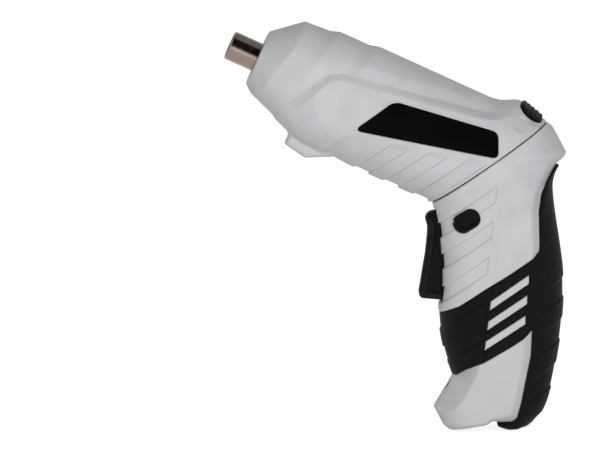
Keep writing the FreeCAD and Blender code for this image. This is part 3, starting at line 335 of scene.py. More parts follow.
def head_body(g):
    """The turned body with its leaning steps, and the same with chin, cheeks and nose."""
    along = g.z + BAND_LEAN * g.x
    steps = sum(depth * ramp(start, end, along) for start, end, depth in BODY_STEPS)
    taper = TAPER_DEPTH * np.clip((g.z - TAPER_START) / TAPER_LENGTH, 0, 1)
    upper = ramp(2, 12, g.x)
    shrink = upper * steps + (1 - upper) * taper + NECK_DEPTH * ramp(*NECK, along)
    body = np.hypot(g.x, g.y) - HEAD_RADIUS + shrink
    chin = slanted_face(g, -g.x, g.y, CHIN_REACH, CHIN_SLOPE) + CHIN_STEP_DEPTH * ramp(*CHIN_STEP, g.z)
    cheek_out = math.sin(CHEEK_TURN) * g.side - math.cos(CHEEK_TURN) * g.x
    cheek_across = math.sin(CHEEK_TURN) * g.x + math.cos(CHEEK_TURN) * g.side
    cheek = slanted_face(g, cheek_out, cheek_across, CHEEK_REACH, CHEEK_SLOPE)
    cone = np.hypot(g.x, g.y) - NOSE_RADIUS - NOSE_SLOPE * (NOSE_FACE - g.z)
    cone = cone / math.hypot(1, NOSE_SLOPE)
    form = meet(meet(body, cheek, 2.5), chin, 2.5)
    return body, meet(meet(form, cone, 0.4), g.z - NOSE_FACE, EDGE)


def crown(g):
    """The large cylinder that the side panels lie on; it leans in towards the tip."""
    return np.hypot(g.x, g.side + CROWN_RADIUS - PANEL_FACE + PANEL_LEAN * g.z) - CROWN_RADIUS


def bump(g):
    """The hump at the rear top that carries the lock button."""
    radius = smooth_line([-27, -2, 0.5, 9, 41], [15.4, 22.1, 21.6, 17.1, 0], g.z, 0.8)
    return (np.hypot(g.x - BUMP_RISE, g.y) - radius) * 0.93


def convex(points, a, b, soft):
    """A field of the flat-sided outline with these corners, in turn, and rounded ones."""
    field = None
    for (a0, b0), (a1, b1) in zip(points, points[1:] + points[:1]):
        length = math.hypot(a1 - a0, b1 - b0)
        edge = ((b1 - b0) * (a - a0) - (a1 - a0) * (b - b0)) / length
        field = edge if field is None else meet(field, edge, soft)
    return field


def badge_outline(g):
    return convex(BADGE, g.x, g.z, BADGE_CORNER)


def light_bump(g):
    """The fairing of the work light under the gearbox."""
    return meet(outline(LIGHT_BUMP, g.x, g.z), g.side - LIGHT_BUMP_HALF, 3.0)


def head_forms(g):
    """The head's outer form with its relief, and the plain form that the hollow follows."""
    body, form = head_body(g)
    bevel = PANEL_BEVEL + 1.6 * ramp(66, 74, g.z)
    edge = outline(PANEL, g.x, g.z)
    face = np.clip(-edge / bevel, 0.0, 1.0)
    rise = np.clip(form - crown(g), 0.0, PANEL_RISE)
    upper_edge = ramp(-2, 3, g.x - 9 + 0.24 * g.z)
    moat = MOAT_DEPTH * upper_edge * (1 - face) * ramp(MOAT_WIDTH, 0, edge)
    plain = form - face * rise * ramp(9, 6, -body) + moat
    height = swivel_height(g)
    ribbed = ramp(0.0, 2.5, -outline(RIBBED, g.x, g.z))
    relief = -RIB_DEPTH * ribbed * bands(height, RIB_EDGES, 0.18)
    from_dimple = np.hypot(g.x - DIMPLE_SPOT[0], g.z - DIMPLE_SPOT[1])
    dimple = DIMPLE_DEPTH * ramp(DIMPLE_RADIUS, DIMPLE_RADIUS - 0.7, from_dimple)
    forms = []
    for field, hollow in ((plain - relief, dimple), (plain, 0.0)):
        field = join(field, light_bump(g), 1.6)
        field = join(field, bump(g), 2.0) + hollow
        forms.append(meet(field, PLANE_GAP - height, EDGE))
    return forms


def badge_tool(g, grow):
    """The badge's slab on the panel's face; grow is the play around it."""
    return meet(badge_outline(g) - grow, -(crown(g) + BADGE_DEPTH + grow), 0.2)


def lock_axes(g):
    """Distances along and out of the slope that the lock button stands on."""
    dx, dz = g.x - LOCK_ORIGIN[0], g.z - LOCK_ORIGIN[1]
    along = dx * math.sin(LOCK_SLOPE) + dz * math.cos(LOCK_SLOPE)
    out = dx * math.cos(LOCK_SLOPE) - dz * math.sin(LOCK_SLOPE)
    return along, out


def lock_outline(g, grow):
    along = lock_axes(g)[0]
    return rounded_box(along, g.y, LOCK_HALF[0] + grow, LOCK_HALF[1] + grow, LOCK_CORNER + grow)


def head_shell(side):
    g = half_grid(HEAD_LOW, HEAD_HIGH, COARSE, side)
    outer, plain = head_forms(g)
    shell = np.maximum(outer, -(plain + WALL))
    pocket = lock_outline(g, 0.3)
    lock_out = lock_axes(g)[1]
    floor = -LOCK_WELL_FLOOR - lock_out
    well = np.maximum(np.maximum(pocket - LOCK_WELL_WALL, floor - LOCK_WELL_WALL), outer)
    shell = join(shell, well, 0.3)
    shell = carve(shell, np.maximum(pocket, floor), 0.4)
    shell = carve(shell, badge_tool(g, 0.1), 0.3)
    chuck = np.hypot(g.x, g.y) - CHUCK_RADIUS - CHUCK_PLAY
    shell = carve(shell, np.maximum(chuck, NOSE_FACE - BORE_DEPTH - g.z), EDGE)
    lens = np.hypot(g.x - LENS_SPOT[0], g.y) - LENS_RADIUS - LENS_PLAY
    shell = carve(shell, np.maximum(lens, LENS_SPOT[1] - BORE_DEPTH - g.z), 0.3)
    hub = np.hypot(ALONG_SHARE * g.x - UP_SHARE * g.z, g.y) - HUB_RADIUS - HUB_PLAY
    shell = carve(shell, np.maximum(hub, swivel_height(g) - HUB_DEPTH), 0.3)
    if side > 0:
        shell = screw_wells(g, shell, outer, HEAD_SCREWS, HEAD_SCREW_SEAT)
    return surface(sided("head_housing", side), g, half(g, shell, outer, side), HEAD, 0.45)


def badge_grid(side):
    y_low, y_high = (-24.5, -17) if side < 0 else (17, 24.5)
    return Grid((-11, y_low, -4), (15, y_high, 54), 0.2)


def badge(side):
    g = badge_grid(side)
    slab = meet(badge_tool(g, 0.0), crown(g) + 0.05, 0.35)
    return surface(sided("badge_inlay", side), g, slab, HEAD, 0.3)


def badge_rim(side):
    """A thin bead around the badge."""
    g = badge_grid(side)
    ring = np.abs(badge_outline(g) - RIM_SPOT) - RIM_HALF
    face = crown(g)
    bead = meet(meet(ring, face - RIM_RISE, 0.35), -(face + 0.7), 0.1)
    return surface(sided("badge_rim", side), g, bead, HEAD, 0.4)


def lock_button():
    g = Grid((14, -12, -14), (29, 12, 0), FINE)
    block = lock_outline(g, 0.0)
    along, out = lock_axes(g)
    ridges = RIDGE_DEPTH * np.cos(along * 2 * math.pi / RIDGE_PITCH) * ramp(0.6, 1.6, -block)
    top = bump(g) - LOCK_PROUD - 0.2 - ridges
    bore = np.maximum(np.hypot(along, g.y) - LOCK_BORE, out + LOCK_DEPTH - LOCK_TRAVEL - 0.3)
    slider = carve(meet(meet(block, top, 0.8), -LOCK_DEPTH - out, 0.4), bore, 0.3)
    return surface("lock_slider", g, slider, HEAD, 0.6)


# Handle housing and soft grip: X is back, Z is up

HANDLE_LOW, HANDLE_HIGH = (-30.5, -24, -102), (31.5, 24, 16)
HANDLE_LENGTH = 100.0
LOFT_HEIGHTS = [-100, -96.5, -92, -86, -78, -70, -62, -53, -42, -32, -22, -15, -8, 16]
LOFT_FRONT = [-14, -16.4, -17.3, -18, -19.2, -21.7, -22.7, -22.8, -20.7, -20.6, -20.8, -21.7, -22.2, -21.9]
LOFT_BACK = [6.6, 11.4, 14.5, 16.8, 19.1, 21.2, 22.8, 24.2, 24.9, 24.4, 23.6, 23.2, 23.3, 22.6]
LOFT_HALF = [11.2, 14.4, 15.7, 16.4, 16.8, 17.4, 17.8, 18.0, 18.0, 18.4, 19.1, 20.2, 21.1, 21.8]
LOFT_CORNER = [6.8, 9.0, 10.4, 11.5, 12.2, 12.8, 13.5, 14.0, 14.0, 14.8, 16.2, 17.6, 18.9, 19.8]
SLOPE = math.tan(TILT)
HANDLE_SCREWS = [(20.5, 1.2), (-4.3, -13.6), (-14.5, -59), (9.2, -91.2), (-20.6, -93)]
HANDLE_SCREW_SEAT = 6.3
BEAK_TOP, BEAK_FALL = (26.5, 10.8), 0.68
HEEL_START, HEEL_FALL = (-5.6, -97.4), 0.43
FOOT, FOOT_TURN, FOOT_RISE = -98.9, -20.0, 0.14
FOOT_LOWEST, FOOT_HIGHEST = -0.3, 2.1
TOE_HEIGHTS = [-98.3, -96.5, -90, -72]
TOE_FRONT = [-22.4, -24.2, -27, -27.6]
TOE_HALF = [13, 14.6, 15.8, 15.8]
TOE_CORNER = [10.5, 12, 13, 13]
TOE_BACK = 7.0
SLOPE_START = (-19.3, -78.6)
SLOPE_LEAN = math.radians(36.0)
FACET_START, FACET_SPREAD = 4.6, 1.5
LIP_WIDTH, BEVEL_WIDTH, BEVEL_DEPTH = 0.7, 2.0, 1.3
BAND_LENGTH, BAND_DEPTH = 6.5, 0.75
GRIP_PLAY = 0.06
PORT_SPOT = (-20.9, -81.6)
PORT_SLOPE = math.radians(36.9)
PORT_HALF, PORT_PLAY, PORT_DEPTH = (4.5, 1.6), 0.1, 8.0
SELECTOR_SPOT = (-9.9, -19.9)
SELECTOR_TURN = math.radians(28)
SELECTOR_HALF, SELECTOR_CORNER, SELECTOR_PLAY = (5.0, 3.35), 3.15, 0.25
SELECTOR_TOP, SELECTOR_DISH, SELECTOR_FOOT = 19.25, 0.9, 12.6
SELECTOR_WELL_FLOOR = 10.3
SELECTOR_BAR, SELECTOR_BAR_END = 2.5, 13.5
TRIGGER_HALF, TRIGGER_EDGE_FALL = 6.6, 2.6
TRIGGER_PIN, TRIGGER_PIN_RADIUS = (-17.5, -20.5), 1.35
SLOT_HALF, SLOT_BACK, SLOT_FOOT, SLOT_TOP = 7.35, -14.3, -50.4, -15.6

# The soft grip is a spine down the back and a band around the front
GRIP_CORNER, GRIP_EDGE_RISE = (-17.8, -77.7), 0.43
SPINE_EDGE = [(16.5, -31), (17.2, -18.6), (18.7, -12.4), (21, -8.6), (25.2, -2.8), (45, -2.8), (45, -115),
              (-5.6, -115), (-5.6, -97.0), (1.2, -96.7), (3.1, -95.2), (5, -90), (7.5, -81), (10, -72.2),
              (11.2, -62.6)]
BAND_TOP = [(-45, -54), (-22.1, -54), (-15, -51.6), (-6.2, -46.7), (5, -40.9), (13.7, -35.9),
            (16.2, -33.4)]
BAND_FOOT = [(8.1, -65.4), (2.5, -68.5), (-7.5, -73.3), (-14.4, -75.5), GRIP_CORNER, (-45, -77.7)]
SPINE = SPINE_EDGE + [(14.5, -45)]
GRIP = BAND_TOP + SPINE_EDGE + BAND_FOOT
TRIGGER = [(-17.6, -16.8), (-21.6, -16.4), (-23.1, -16.6), (-24.5, -17.6), (-25, -19), (-24.4, -22),
           (-24.7, -25), (-26, -32), (-28, -40), (-29.5, -46.2), (-29.4, -47.6), (-28.6, -48.6),
           (-20.2, -50), (-19.3, -49.3), (-18.2, -36), (-14.9, -24), (-14.9, -18.2), (-15.8, -17)]


def handle_loft(g):
    """The handle's form, lofted through rounded rectangles, down to the heel's underside."""
    rows = (LOFT_FRONT, LOFT_BACK, LOFT_HALF, LOFT_CORNER)
    lines = [smooth_line(LOFT_HEIGHTS, row, g.z, 3.0).astype(np.float32) for row in rows]
    front, back, half_width, corner = lines
    field = rounded_box(g.x - (front + back) / 2, g.y, (back - front) / 2, half_width, corner)
    fall = HEEL_FALL * np.abs(g.x - HEEL_START[0])
    heel = (HEEL_START[1] - fall - g.z) / math.hypot(1, HEEL_FALL)
    return meet(field, meet(-HANDLE_LENGTH - g.z, heel, 0.8), 3.0)


def toe(g):
    """The forward foot's upright block."""
    rows = (TOE_FRONT, TOE_HALF, TOE_CORNER)
    front, half_width, corner = [np.interp(g.z, TOE_HEIGHTS, row).astype(np.float32) for row in rows]
    block = rounded_box(g.x - (front + TOE_BACK) / 2, g.y, (TOE_BACK - front) / 2, half_width, corner)
    block = meet(block, over_grip_edge(g), 0.3)
    return meet(meet(block, -slope_depth(g, g.z), 0.4), foot(g), 2.0)


def foot(g):
    """Depth below the toe's underside, which rises to the back."""
    return FOOT + np.clip(FOOT_RISE * (g.x - FOOT_TURN), FOOT_LOWEST, FOOT_HIGHEST) - g.z


def over_grip_edge(g):
    """Height above the soft grip's lower edge at the front."""
    return g.z - GRIP_CORNER[1] - GRIP_EDGE_RISE * (g.x - GRIP_CORNER[0])


def slope_depth(g, height):
    """How far a point at this height lies behind the toe's sloping top."""
    back = g.x - SLOPE_START[0]
    up = height - SLOPE_START[1]
    return math.cos(SLOPE_LEAN) * back - math.sin(SLOPE_LEAN) * up


def toe_slope(g):
    """The toe's sloping top below the soft grip, with a facet on either side; the charge port is in it."""
    fall = SLOPE_START[1] - g.z
    depth = slope_depth(g, SLOPE_START[1] - (fall + np.hypot(fall, 3.0)) / 2)
    facet = (g.side - FACET_START - FACET_SPREAD * depth) / math.hypot(1, FACET_SPREAD)
    return meet(facet, -depth, 1.5) - 30.0 * ramp(0.0, 1.5, over_grip_edge(g))


def shoulder(g):
    """The beak behind the swivel, turned about an upright axis."""
    radius = smooth_line([-38.5, -12, -5, 1.5, 11.5, 14], [0, 13.6, 17.2, 21.6, 17.2, 15.6], g.z, 0.7)
    chamfer = (g.z - BEAK_TOP[1] + BEAK_FALL * (g.x - BEAK_TOP[0])) / math.hypot(1, BEAK_FALL)
    return meet((np.hypot(g.x - 8.0, g.y) - radius) * 0.88, chamfer, 0.4)


def above_swivel(g):
    """Height above the swivel plane, in the handle's frame, less the gap there."""
    return -UP_SHARE * g.x + ALONG_SHARE * g.z + PLANE_GAP


def handle_form(g):
    form = meet(join(handle_loft(g), toe(g), 0.6), toe_slope(g), 0.4)
    form = join(form, shoulder(g), 1.5)
    return meet(form, above_swivel(g), EDGE)


def sunk_band(g, number):
    """A band of the front that lies lower than the shell around it, with an upright end."""
    right = 2.7 - 2.6 * number
    top = -7.2 - 13.25 * number
    end, foot_end = right - 1.25, top - BAND_LENGTH
    front = -32
    front_foot = foot_end - SLOPE * (end - front)
    front_top = top - SLOPE * (right - front)
    points = [(right, top), (end, foot_end), (front, front_foot), (front, front_top)]
    return ramp(0.0, 0.3, -outline(points, g.x, g.z))


def stripe(g, number):
    """One of the shell's bars that show through the soft grip."""
    left, right = -3.3 - 1.5 * number, 11.7 - 1.2 * number
    top_left, top_right = -50.5 - 7.4 * number, -41.7 - 7.5 * number
    foot_right, foot_left = (right - 0.3, top_right - 3.4), (left - 0.7, top_left - 3.5)
    return outline([(left, top_left), (right, top_right), foot_right, foot_left], g.x, g.z)


def stripes(g):
    field = stripe(g, 0)
    for number in (1, 2):
        field = np.minimum(field, stripe(g, number))
    return field


def shell_relief(g):
    """Sunk bands beside the trigger, a soft upright ridge, and the bevel along the spine."""
    sunk = sum(sunk_band(g, number) for number in range(3))
    ridge = 5.0 + 0.142 * g.z
    rear = 0.4 * ramp(-0.8, 1.2, g.x - ridge) * ramp(60, 40, -g.z) * ramp(1, -7, g.z)
    bevel = 1.0 - np.clip((outline(SPINE, g.x, g.z) - LIP_WIDTH) / BEVEL_WIDTH, 0.0, 1.0)
    return -BAND_DEPTH * sunk + rear - BEVEL_DEPTH * bevel - 0.25 * ramp(0.4, -0.2, stripes(g))


def grip_relief(g):
    """Sunk bands at the front, a groove beside the stripes and shallow bands down the spine."""
    level = g.z - SLOPE * g.x
    groove_line = -5.4 + 0.076 * (g.z + 49.7)
    front = ramp(0.2, 0.8, groove_line - 0.6 - g.x)
    sunk = front * bands(level, [(-47.5, -40.7), (-60.7, -54.1), (-73.7, -67.3)], 0.2)
    groove = bands(g.x, [(groove_line - 0.5, groove_line + 0.5)], 0.2)
    spine_edge = -outline(SPINE, g.x, g.z)
    spine = ramp(0.5, 2.0, spine_edge) * ramp(-34, -42, g.z)
    scales = spine * bands(level, [(-66.0 - 14.4 * n, -58.8 - 14.4 * n) for n in range(4)], 0.2)
    beside_shell = ramp(-9.0, -12.5, g.z) * (1 - bands(g.z, [(-62, -32)], 0.8))
    tucked = (1.0 - ramp(0.0, 1.6, spine_edge)) * ramp(-0.2, 0.0, spine_edge) * beside_shell
    return 0.12 - 0.55 * sunk - 0.5 * groove - 0.45 * scales - 0.8 * tucked


def soft_region(g, form):
    """Where the soft grip lies: inside its outline, down to its thickness, but not over the stripes."""
    region = np.maximum(outline(GRIP, g.x, g.z), -stripes(g))
    return meet(region, -(form + RUBBER), 0.3)


def port_hole(g):
    """The charge socket's slot, square to the toe's slope."""
    dx, dz = g.x - PORT_SPOT[0], g.z - PORT_SPOT[1]
    into = dx * math.cos(PORT_SLOPE) - dz * math.sin(PORT_SLOPE)
    up = dx * math.sin(PORT_SLOPE) + dz * math.cos(PORT_SLOPE)
    slot = rounded_box(g.y, up, PORT_HALF[0] + PORT_PLAY, PORT_HALF[1] + PORT_PLAY, 0.5)
    return np.maximum(slot, into - PORT_DEPTH)


def selector_axes(g):
    """Distances along and across the selector's slot."""
    dx, dz = g.x - SELECTOR_SPOT[0], g.z - SELECTOR_SPOT[1]
    along = dx * math.cos(SELECTOR_TURN) + dz * math.sin(SELECTOR_TURN)
    across = -dx * math.sin(SELECTOR_TURN) + dz * math.cos(SELECTOR_TURN)
    return along, across


def selector_outline(g, grow):
    along, across = selector_axes(g)
    corner = SELECTOR_CORNER + grow
    return rounded_box(along, across, SELECTOR_HALF[0] + grow, SELECTOR_HALF[1] + grow, corner)


def handle_shell(side):
    g = half_grid(HANDLE_LOW, HANDLE_HIGH, COARSE, side)
    form = handle_form(g)
    outer = meet(meet(form - shell_relief(g), foot(g), 1.2), above_swivel(g), EDGE)
    shell = np.maximum(outer, -(form + RUBBER + WALL))
    if side > 0:
        shell = screw_wells(g, shell, outer, HANDLE_SCREWS, HANDLE_SCREW_SEAT)
    shell = carve(shell, soft_region(g, form) - GRIP_PLAY, 0.35)
    across_slot = np.maximum(g.side - SLOT_HALF, g.x - SLOT_BACK)
    slot = np.maximum(across_slot, np.maximum(g.z - SLOT_TOP, SLOT_FOOT - g.z))
    shell = carve(shell, slot, EDGE)
    selector_well = np.maximum(selector_outline(g, SELECTOR_PLAY), SELECTOR_WELL_FLOOR - g.side)
    shell = carve(shell, selector_well, EDGE)
    shell = carve(shell, port_hole(g), 0.3)
    hub = np.hypot(ALONG_SHARE * g.x + UP_SHARE * g.z, g.y) - HUB_RADIUS - HUB_PLAY
    below = UP_SHARE * g.x - ALONG_SHARE * g.z
    shell = carve(shell, np.maximum(hub, below - HUB_DEPTH), 0.3)
    return surface(sided("handle_housing", side), g, half(g, shell, outer, side), HANDLE, 0.45)


def grip(side):
    g = half_grid(HANDLE_LOW, HANDLE_HIGH, COARSE, side)
    form = handle_form(g)
    rubber = meet(form - grip_relief(g), soft_region(g, form) + GRIP_PLAY, 0.7)
    rubber = meet(rubber, -HANDLE_LENGTH - g.z, 0.5)
    if side > 0:
        for x, z in HANDLE_SCREWS:
            rubber = carve(rubber, np.hypot(g.x - x, g.z - z) - SCREW_WELL, EDGE)
    return surface(sided("soft_grip", side), g, half(g, rubber, form, side), HANDLE, 0.6)


def trigger():
    g = Grid((-31, -8, -52), (-13, 8, -15), FINE)
    edge = outline(TRIGGER, g.x, g.z)
    depth = np.minimum(-edge, 6.0)
    front = ramp(-19.5, -22.5, g.x)
    bead = 0.35 * np.exp(-((depth - 2.4) / 0.35) ** 2)
    width = TRIGGER_HALF - front * (TRIGGER_EDGE_FALL * (1 - np.clip(depth / 2.2, 0, 1)) - bead)
    field = meet(edge, g.side - width, 0.7)
    pin = np.hypot(g.x - TRIGGER_PIN[0], g.z - TRIGGER_PIN[1]) - TRIGGER_PIN_RADIUS
    return surface("trigger_lever", g, carve(field, pin, 0.2), HANDLE, 0.7)


def selector():
    g = Grid((-17, -20.5, -27), (-3, 20.5, -12.5), 0.3)
    along = selector_axes(g)[0]
    cap = selector_outline(g, 0.0)
    dish = ramp(0.7, 1.6, -cap)
    ridges = 0.3 * np.cos(along * 2 * math.pi / 1.7) * ramp(0.5, -1.5, along)
    top = SELECTOR_TOP - SELECTOR_DISH * dish * (1 - ridges)
    caps = meet(meet(cap, g.side - top, 0.7), SELECTOR_FOOT - g.side, 0.3)
    rod = np.hypot(g.x - SELECTOR_SPOT[0], g.z - SELECTOR_SPOT[1]) - SELECTOR_BAR
    bar = np.maximum(rod, g.side - SELECTOR_BAR_END)
    return surface("selector_bar", g, join(caps, bar, 0.5), HANDLE, 0.5)


# Materials


class Finish:
    """A material with helpers that vary its colour, shine and surface."""

    def __init__(self, name, metallic=0.0, specular=0.5):
        self.material = bpy.data.materials.new(name)
        self.material.use_nodes = True
        self.tree = self.material.node_tree
        self.shader = self.tree.nodes["Principled BSDF"]
        self.shader.inputs["Metallic"].default_value = metallic
        self.shader.inputs["Specular IOR Level"].default_value = specular
        self.place = self.node("ShaderNodeTexCoord").outputs["Object"]

    def node(self, kind):
        return self.tree.nodes.new(kind)

    def link(self, start, end):
        self.tree.links.new(start, end)

    def noise(self, size_mm, detail=2.0, stretch=(1.0, 1.0, 1.0)):
        """Noise whose lumps are about size_mm wide, longer along an axis where stretch is small."""
        mapping = self.node("ShaderNodeMapping")
        mapping.inputs["Scale"].default_value = stretch
        self.link(self.place, mapping.inputs["Vector"])
        texture = self.node("ShaderNodeTexNoise")
        texture.inputs["Scale"].default_value = 1.0 / (size_mm * MM)
        texture.inputs["Detail"].default_value = detail
        self.link(mapping.outputs["Vector"], texture.inputs["Vector"])
        return texture.outputs[0]

    def spread(self, value, low, high):
        """Maps the middle of a noise's range onto low to high."""
        node = self.node("ShaderNodeMapRange")
        node.inputs["From Min"].default_value = 0.3
        node.inputs["From Max"].default_value = 0.7
        node.inputs["To Min"].default_value = low
        node.inputs["To Max"].default_value = high
        self.link(value, node.inputs["Value"])
        return node.outputs["Result"]

    def colour(self, value, dark, light):
        mix = self.node("ShaderNodeMix")
        mix.data_type = "RGBA"
        mix.inputs["A"].default_value = (*dark, 1.0)
        mix.inputs["B"].default_value = (*light, 1.0)
        self.link(self.spread(value, 0.0, 1.0), mix.inputs["Factor"])
        self.link(mix.outputs["Result"], self.shader.inputs["Base Color"])

    def shine(self, value, low, high):
        self.link(self.spread(value, low, high), self.shader.inputs["Roughness"])

    def grain(self, value, depth_mm):
        bump_node = self.node("ShaderNodeBump")
        bump_node.inputs["Distance"].default_value = depth_mm * MM
        self.link(value, bump_node.inputs["Height"])
        self.link(bump_node.outputs["Normal"], self.shader.inputs["Normal"])


def shade(colour, share):
    return tuple(channel * share for channel in colour)


def moulded(name, colour, roughness, grain_mm, depth_mm, specular=0.3):
    """Plastic or rubber with a fine eroded texture."""
    finish = Finish(name, specular=specular)
    finish.colour(finish.noise(9.0, 4.0), shade(colour, 0.95), shade(colour, 1.04))
    finish.shine(finish.noise(3.0, 4.0), roughness - 0.05, roughness + 0.06)
    finish.grain(finish.noise(grain_mm, 2.0), depth_mm)
    return finish.material


def metal(name, colour, roughness, stretch=(1.0, 1.0, 1.0), depth_mm=0.002):
    """Metal with faint tool marks along the axis where stretch is small."""
    finish = Finish(name, 1.0)
    finish.colour(finish.noise(4.0, 3.0), shade(colour, 0.9), colour)
    finish.shine(finish.noise(0.8, 3.0, stretch), roughness * 0.75, roughness * 1.3)
    finish.grain(finish.noise(0.3, 2.0, stretch), depth_mm)
    return finish.material


def gloss(name, colour, roughness, specular=0.4):
    """A smooth glossy face with a trace of orange peel."""
    finish = Finish(name, specular=specular)
    finish.colour(finish.noise(12.0, 2.0), shade(colour, 0.85), shade(colour, 1.1))
    finish.shine(finish.noise(5.0, 3.0), roughness * 0.8, roughness * 1.25)
    finish.grain(finish.noise(2.5, 1.0), 0.004)
    return finish.material


def clear(name, roughness):
    finish = Finish(name)
    finish.shader.inputs["Transmission Weight"].default_value = 0.9
    finish.colour(finish.noise(2.0, 2.0), (0.30, 0.31, 0.32), (0.42, 0.43, 0.44))
    finish.shine(finish.noise(1.0, 2.0), roughness * 0.6, roughness * 1.4)
    return finish.material


def make_materials():
    """One material for each slot of the record."""
    return {
        "housing_grey": moulded("housing_grey", (0.52, 0.525, 0.53), 0.48, 0.35, 0.012),
        "grip_rubber": moulded("grip_rubber", (0.007, 0.007, 0.0074), 0.6, 0.3, 0.03, 0.07),
        "dark_plastic": moulded("dark_plastic", (0.006, 0.006, 0.0064), 0.58, 0.4, 0.012, 0.07),
        "badge_gloss": gloss("badge_gloss", (0.003, 0.003, 0.0033), 0.35, 0.01),
        # The chuck's warm brown tint is a painted reflection of warm surroundings on polished nickel, not the
        # metal's own colour
        "chuck_steel": metal("chuck_steel", (0.25, 0.2, 0.175), 0.2),
        "gear_steel": metal("gear_steel", (0.42, 0.41, 0.40), 0.38),
        "screw_steel": metal("screw_steel", (0.05, 0.05, 0.052), 0.45),
        "can_steel": metal("can_steel", (0.55, 0.55, 0.56), 0.3),
        "winding_steel": metal("winding_steel", (0.5, 0.3, 0.18), 0.42),
        "brass": metal("brass", (0.72, 0.52, 0.25), 0.3),
        "magnet": moulded("magnet", (0.05, 0.05, 0.055), 0.5, 0.5, 0.02),
        "dark_nylon": moulded("dark_nylon", (0.03, 0.03, 0.032), 0.5, 0.5, 0.02),
        "pale_nylon": moulded("pale_nylon", (0.72, 0.7, 0.64), 0.45, 0.5, 0.02),
        "cell_wrap": gloss("cell_wrap", (0.05, 0.2, 0.35), 0.3),
        "nickel_strip": metal("nickel_strip", (0.62, 0.61, 0.58), 0.3),
        "circuit_board": gloss("circuit_board", (0.02, 0.16, 0.07), 0.35),
        "lead_sleeve": gloss("lead_sleeve", (0.4, 0.03, 0.03), 0.4),
        "clear_lens": clear("clear_lens", 0.12),
    }


# The object


def dress():
    """Makes the moulded pieces, and gives every other node its slot's material."""
    finishes = make_materials()
    for side in (-1, 1):
        finish_piece(head_shell(side), "head", finishes, "housing_grey", sided("head_shell", side))
        finish_piece(badge(side), "head", finishes, "badge_gloss", sided("badge", side))
        finish_piece(badge_rim(side), "head", finishes, "housing_grey")
        finish_piece(handle_shell(side), "handle", finishes, "housing_grey", sided("handle_shell", side))
        finish_piece(grip(side), "handle", finishes, "grip_rubber", sided("grip", side))
    finish_piece(lock_button(), "lock_button", finishes, "dark_plastic", "lock_button")
    finish_piece(trigger(), "trigger", finishes, "dark_plastic", "trigger")
    finish_piece(selector(), "direction_selector", finishes, "dark_plastic", "direction_selector")
    for part in frame["record"]["subparts"]:
        node = NODES[part["node"]]
        node.data.materials.clear()
        node.data.materials.append(finishes[part["material_slot"]])


# Floor, light and camera

VIEW_TILT = math.radians(5.0)
VIEW_ROLL = math.radians(4.5)
VIEW_DISTANCE = 3.0
VIEW_LEFT, VIEW_DOWN = 70.1 * MM, 23.5 * MM
FRAME_WIDTH = 0.224
SENSOR = 36.0
FLOOR_SIZE = 12.0
FLOOR_GREY, FLOOR_GLOW = 0.9, 0.8
WORLD_LIGHT, WORLD_WHITE = 0.38, 1.0
LAMP_SPOT = Vector((0.05, -1.0, 0.16))
LAMP_WIDTH, LAMP_HEIGHT, LAMP_POWER = 0.6, 0.3, 6.6


def rays_seen(tree):
    """1 for rays from the camera, from mirrors and through glass."""
    path = tree.nodes.new("ShaderNodeLightPath")
    total = path.outputs["Is Camera Ray"]
    for kind in ("Is Glossy Ray", "Is Transmission Ray"):
        larger = tree.nodes.new("ShaderNodeMath")
        larger.operation = "MAXIMUM"
        tree.links.new(total, larger.inputs[0])
        tree.links.new(path.outputs[kind], larger.inputs[1])
        total = larger.outputs["Value"]
    return total


def seen_level(tree, as_light, as_seen):
    """One strength for the rays that light, another for those that are seen."""
    level = tree.nodes.new("ShaderNodeMapRange")
    level.inputs["To Min"].default_value = as_light
    level.inputs["To Max"].default_value = as_seen
    tree.links.new(rays_seen(tree), level.inputs["Value"])
    return level.outputs["Result"]


def make_world():
    """White where it is seen, dim where it lights."""
    world = bpy.data.worlds.new("studio")
    bpy.context.scene.world = world
    world.use_nodes = True
    tree = world.node_tree
    background = tree.nodes["Background"]
    background.inputs["Color"].default_value = (1, 1, 1, 1)
    tree.links.new(seen_level(tree, WORLD_LIGHT, WORLD_WHITE), background.inputs["Strength"])


def rectangle(name, half_width, half_height):
    signs = ((-1, -1), (1, -1), (1, 1), (-1, 1))
    corners = [(half_width * across, half_height * up, 0) for across, up in signs]
    mesh = bpy.data.meshes.new(name)
    mesh.from_pydata(corners, [], [(0, 1, 2, 3)])
    return mesh


def make_floor():
    """White where it is seen, with the object's shadow."""
    mesh = rectangle("floor", FLOOR_SIZE / 2, FLOOR_SIZE / 2)
    floor = bpy.data.objects.new("floor", mesh)
    bpy.context.scene.collection.objects.link(floor)
    material = bpy.data.materials.new("floor_white")
    material.use_nodes = True
    shader = material.node_tree.nodes["Principled BSDF"]
    shader.inputs["Base Color"].default_value = (FLOOR_GREY, FLOOR_GREY, FLOOR_GREY, 1)
    shader.inputs["Roughness"].default_value = 0.9
    shader.inputs["Specular IOR Level"].default_value = 0.0
    shader.inputs["Emission Color"].default_value = (1, 1, 1, 1)
    strength = seen_level(material.node_tree, 0.0, FLOOR_GLOW)
    material.node_tree.links.new(strength, shader.inputs["Emission Strength"])
    mesh.materials.append(material)


def aim(thing, spot, target):
    thing.location = spot
    thing.rotation_euler = (target - spot).to_track_quat("-Z", "Y").to_euler()


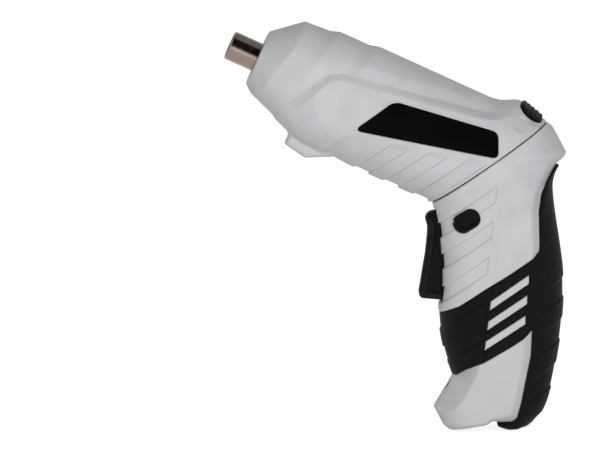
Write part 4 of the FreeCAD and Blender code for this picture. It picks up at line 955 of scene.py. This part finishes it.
def make_lamp():
    """One broad soft light from the front."""
    light = bpy.data.lights.new("front_box", "AREA")
    light.shape = "RECTANGLE"
    light.size = LAMP_WIDTH
    light.size_y = LAMP_HEIGHT
    light.energy = LAMP_POWER
    lamp = bpy.data.objects.new("front_box", light)
    lamp.visible_camera = False
    lamp.visible_glossy = False
    bpy.context.scene.collection.objects.link(lamp)
    aim(lamp, LAMP_SPOT, SWIVEL)


def make_card(name, offset, half_width, half_height, grey):
    """A black or grey card beside the object, seen only as a reflection."""
    mesh = rectangle(name, half_width, half_height)
    card = bpy.data.objects.new(name, mesh)
    bpy.context.scene.collection.objects.link(card)
    aim(card, SWIVEL + Vector(offset), SWIVEL)
    material = bpy.data.materials.new(name)
    material.use_nodes = True
    shader = material.node_tree.nodes["Principled BSDF"]
    shader.inputs["Base Color"].default_value = (0, 0, 0, 1)
    shader.inputs["Specular IOR Level"].default_value = 0.0
    shader.inputs["Emission Color"].default_value = (grey, grey, grey, 1)
    shader.inputs["Emission Strength"].default_value = 1.0
    mesh.materials.append(material)
    card.visible_camera = False
    card.visible_diffuse = False
    card.visible_transmission = False
    card.visible_shadow = False


def make_camera():
    """The photograph's view: a little from above, rolled, square to the tool's side."""
    ahead = Vector((0, math.cos(VIEW_TILT), -math.sin(VIEW_TILT)))
    level_up = Vector((0, math.sin(VIEW_TILT), math.cos(VIEW_TILT)))
    level_right = Vector((1, 0, 0))
    right = math.cos(VIEW_ROLL) * level_right - math.sin(VIEW_ROLL) * level_up
    up = math.sin(VIEW_ROLL) * level_right + math.cos(VIEW_ROLL) * level_up
    target = SWIVEL - VIEW_LEFT * right - VIEW_DOWN * up
    camera = bpy.data.cameras.new("camera")
    camera.sensor_width = SENSOR
    camera.lens = SENSOR * VIEW_DISTANCE / FRAME_WIDTH
    holder = bpy.data.objects.new("camera", camera)
    bpy.context.scene.collection.objects.link(holder)
    matrix = Matrix((right, up, -ahead)).transposed().to_4x4()
    matrix.translation = target - VIEW_DISTANCE * ahead
    holder.matrix_world = matrix
    bpy.context.scene.camera = holder


bpy.context.scene.view_settings.view_transform = "Standard"
dress()
make_world()
make_floor()
make_lamp()
make_card("front_card", offset=(-0.2, -0.62, 0.6), half_width=0.8, half_height=0.66, grey=0.0)
make_card("top_card", offset=(0, 0.2, 0.8), half_width=0.8, half_height=0.5, grey=0.5)
make_camera()
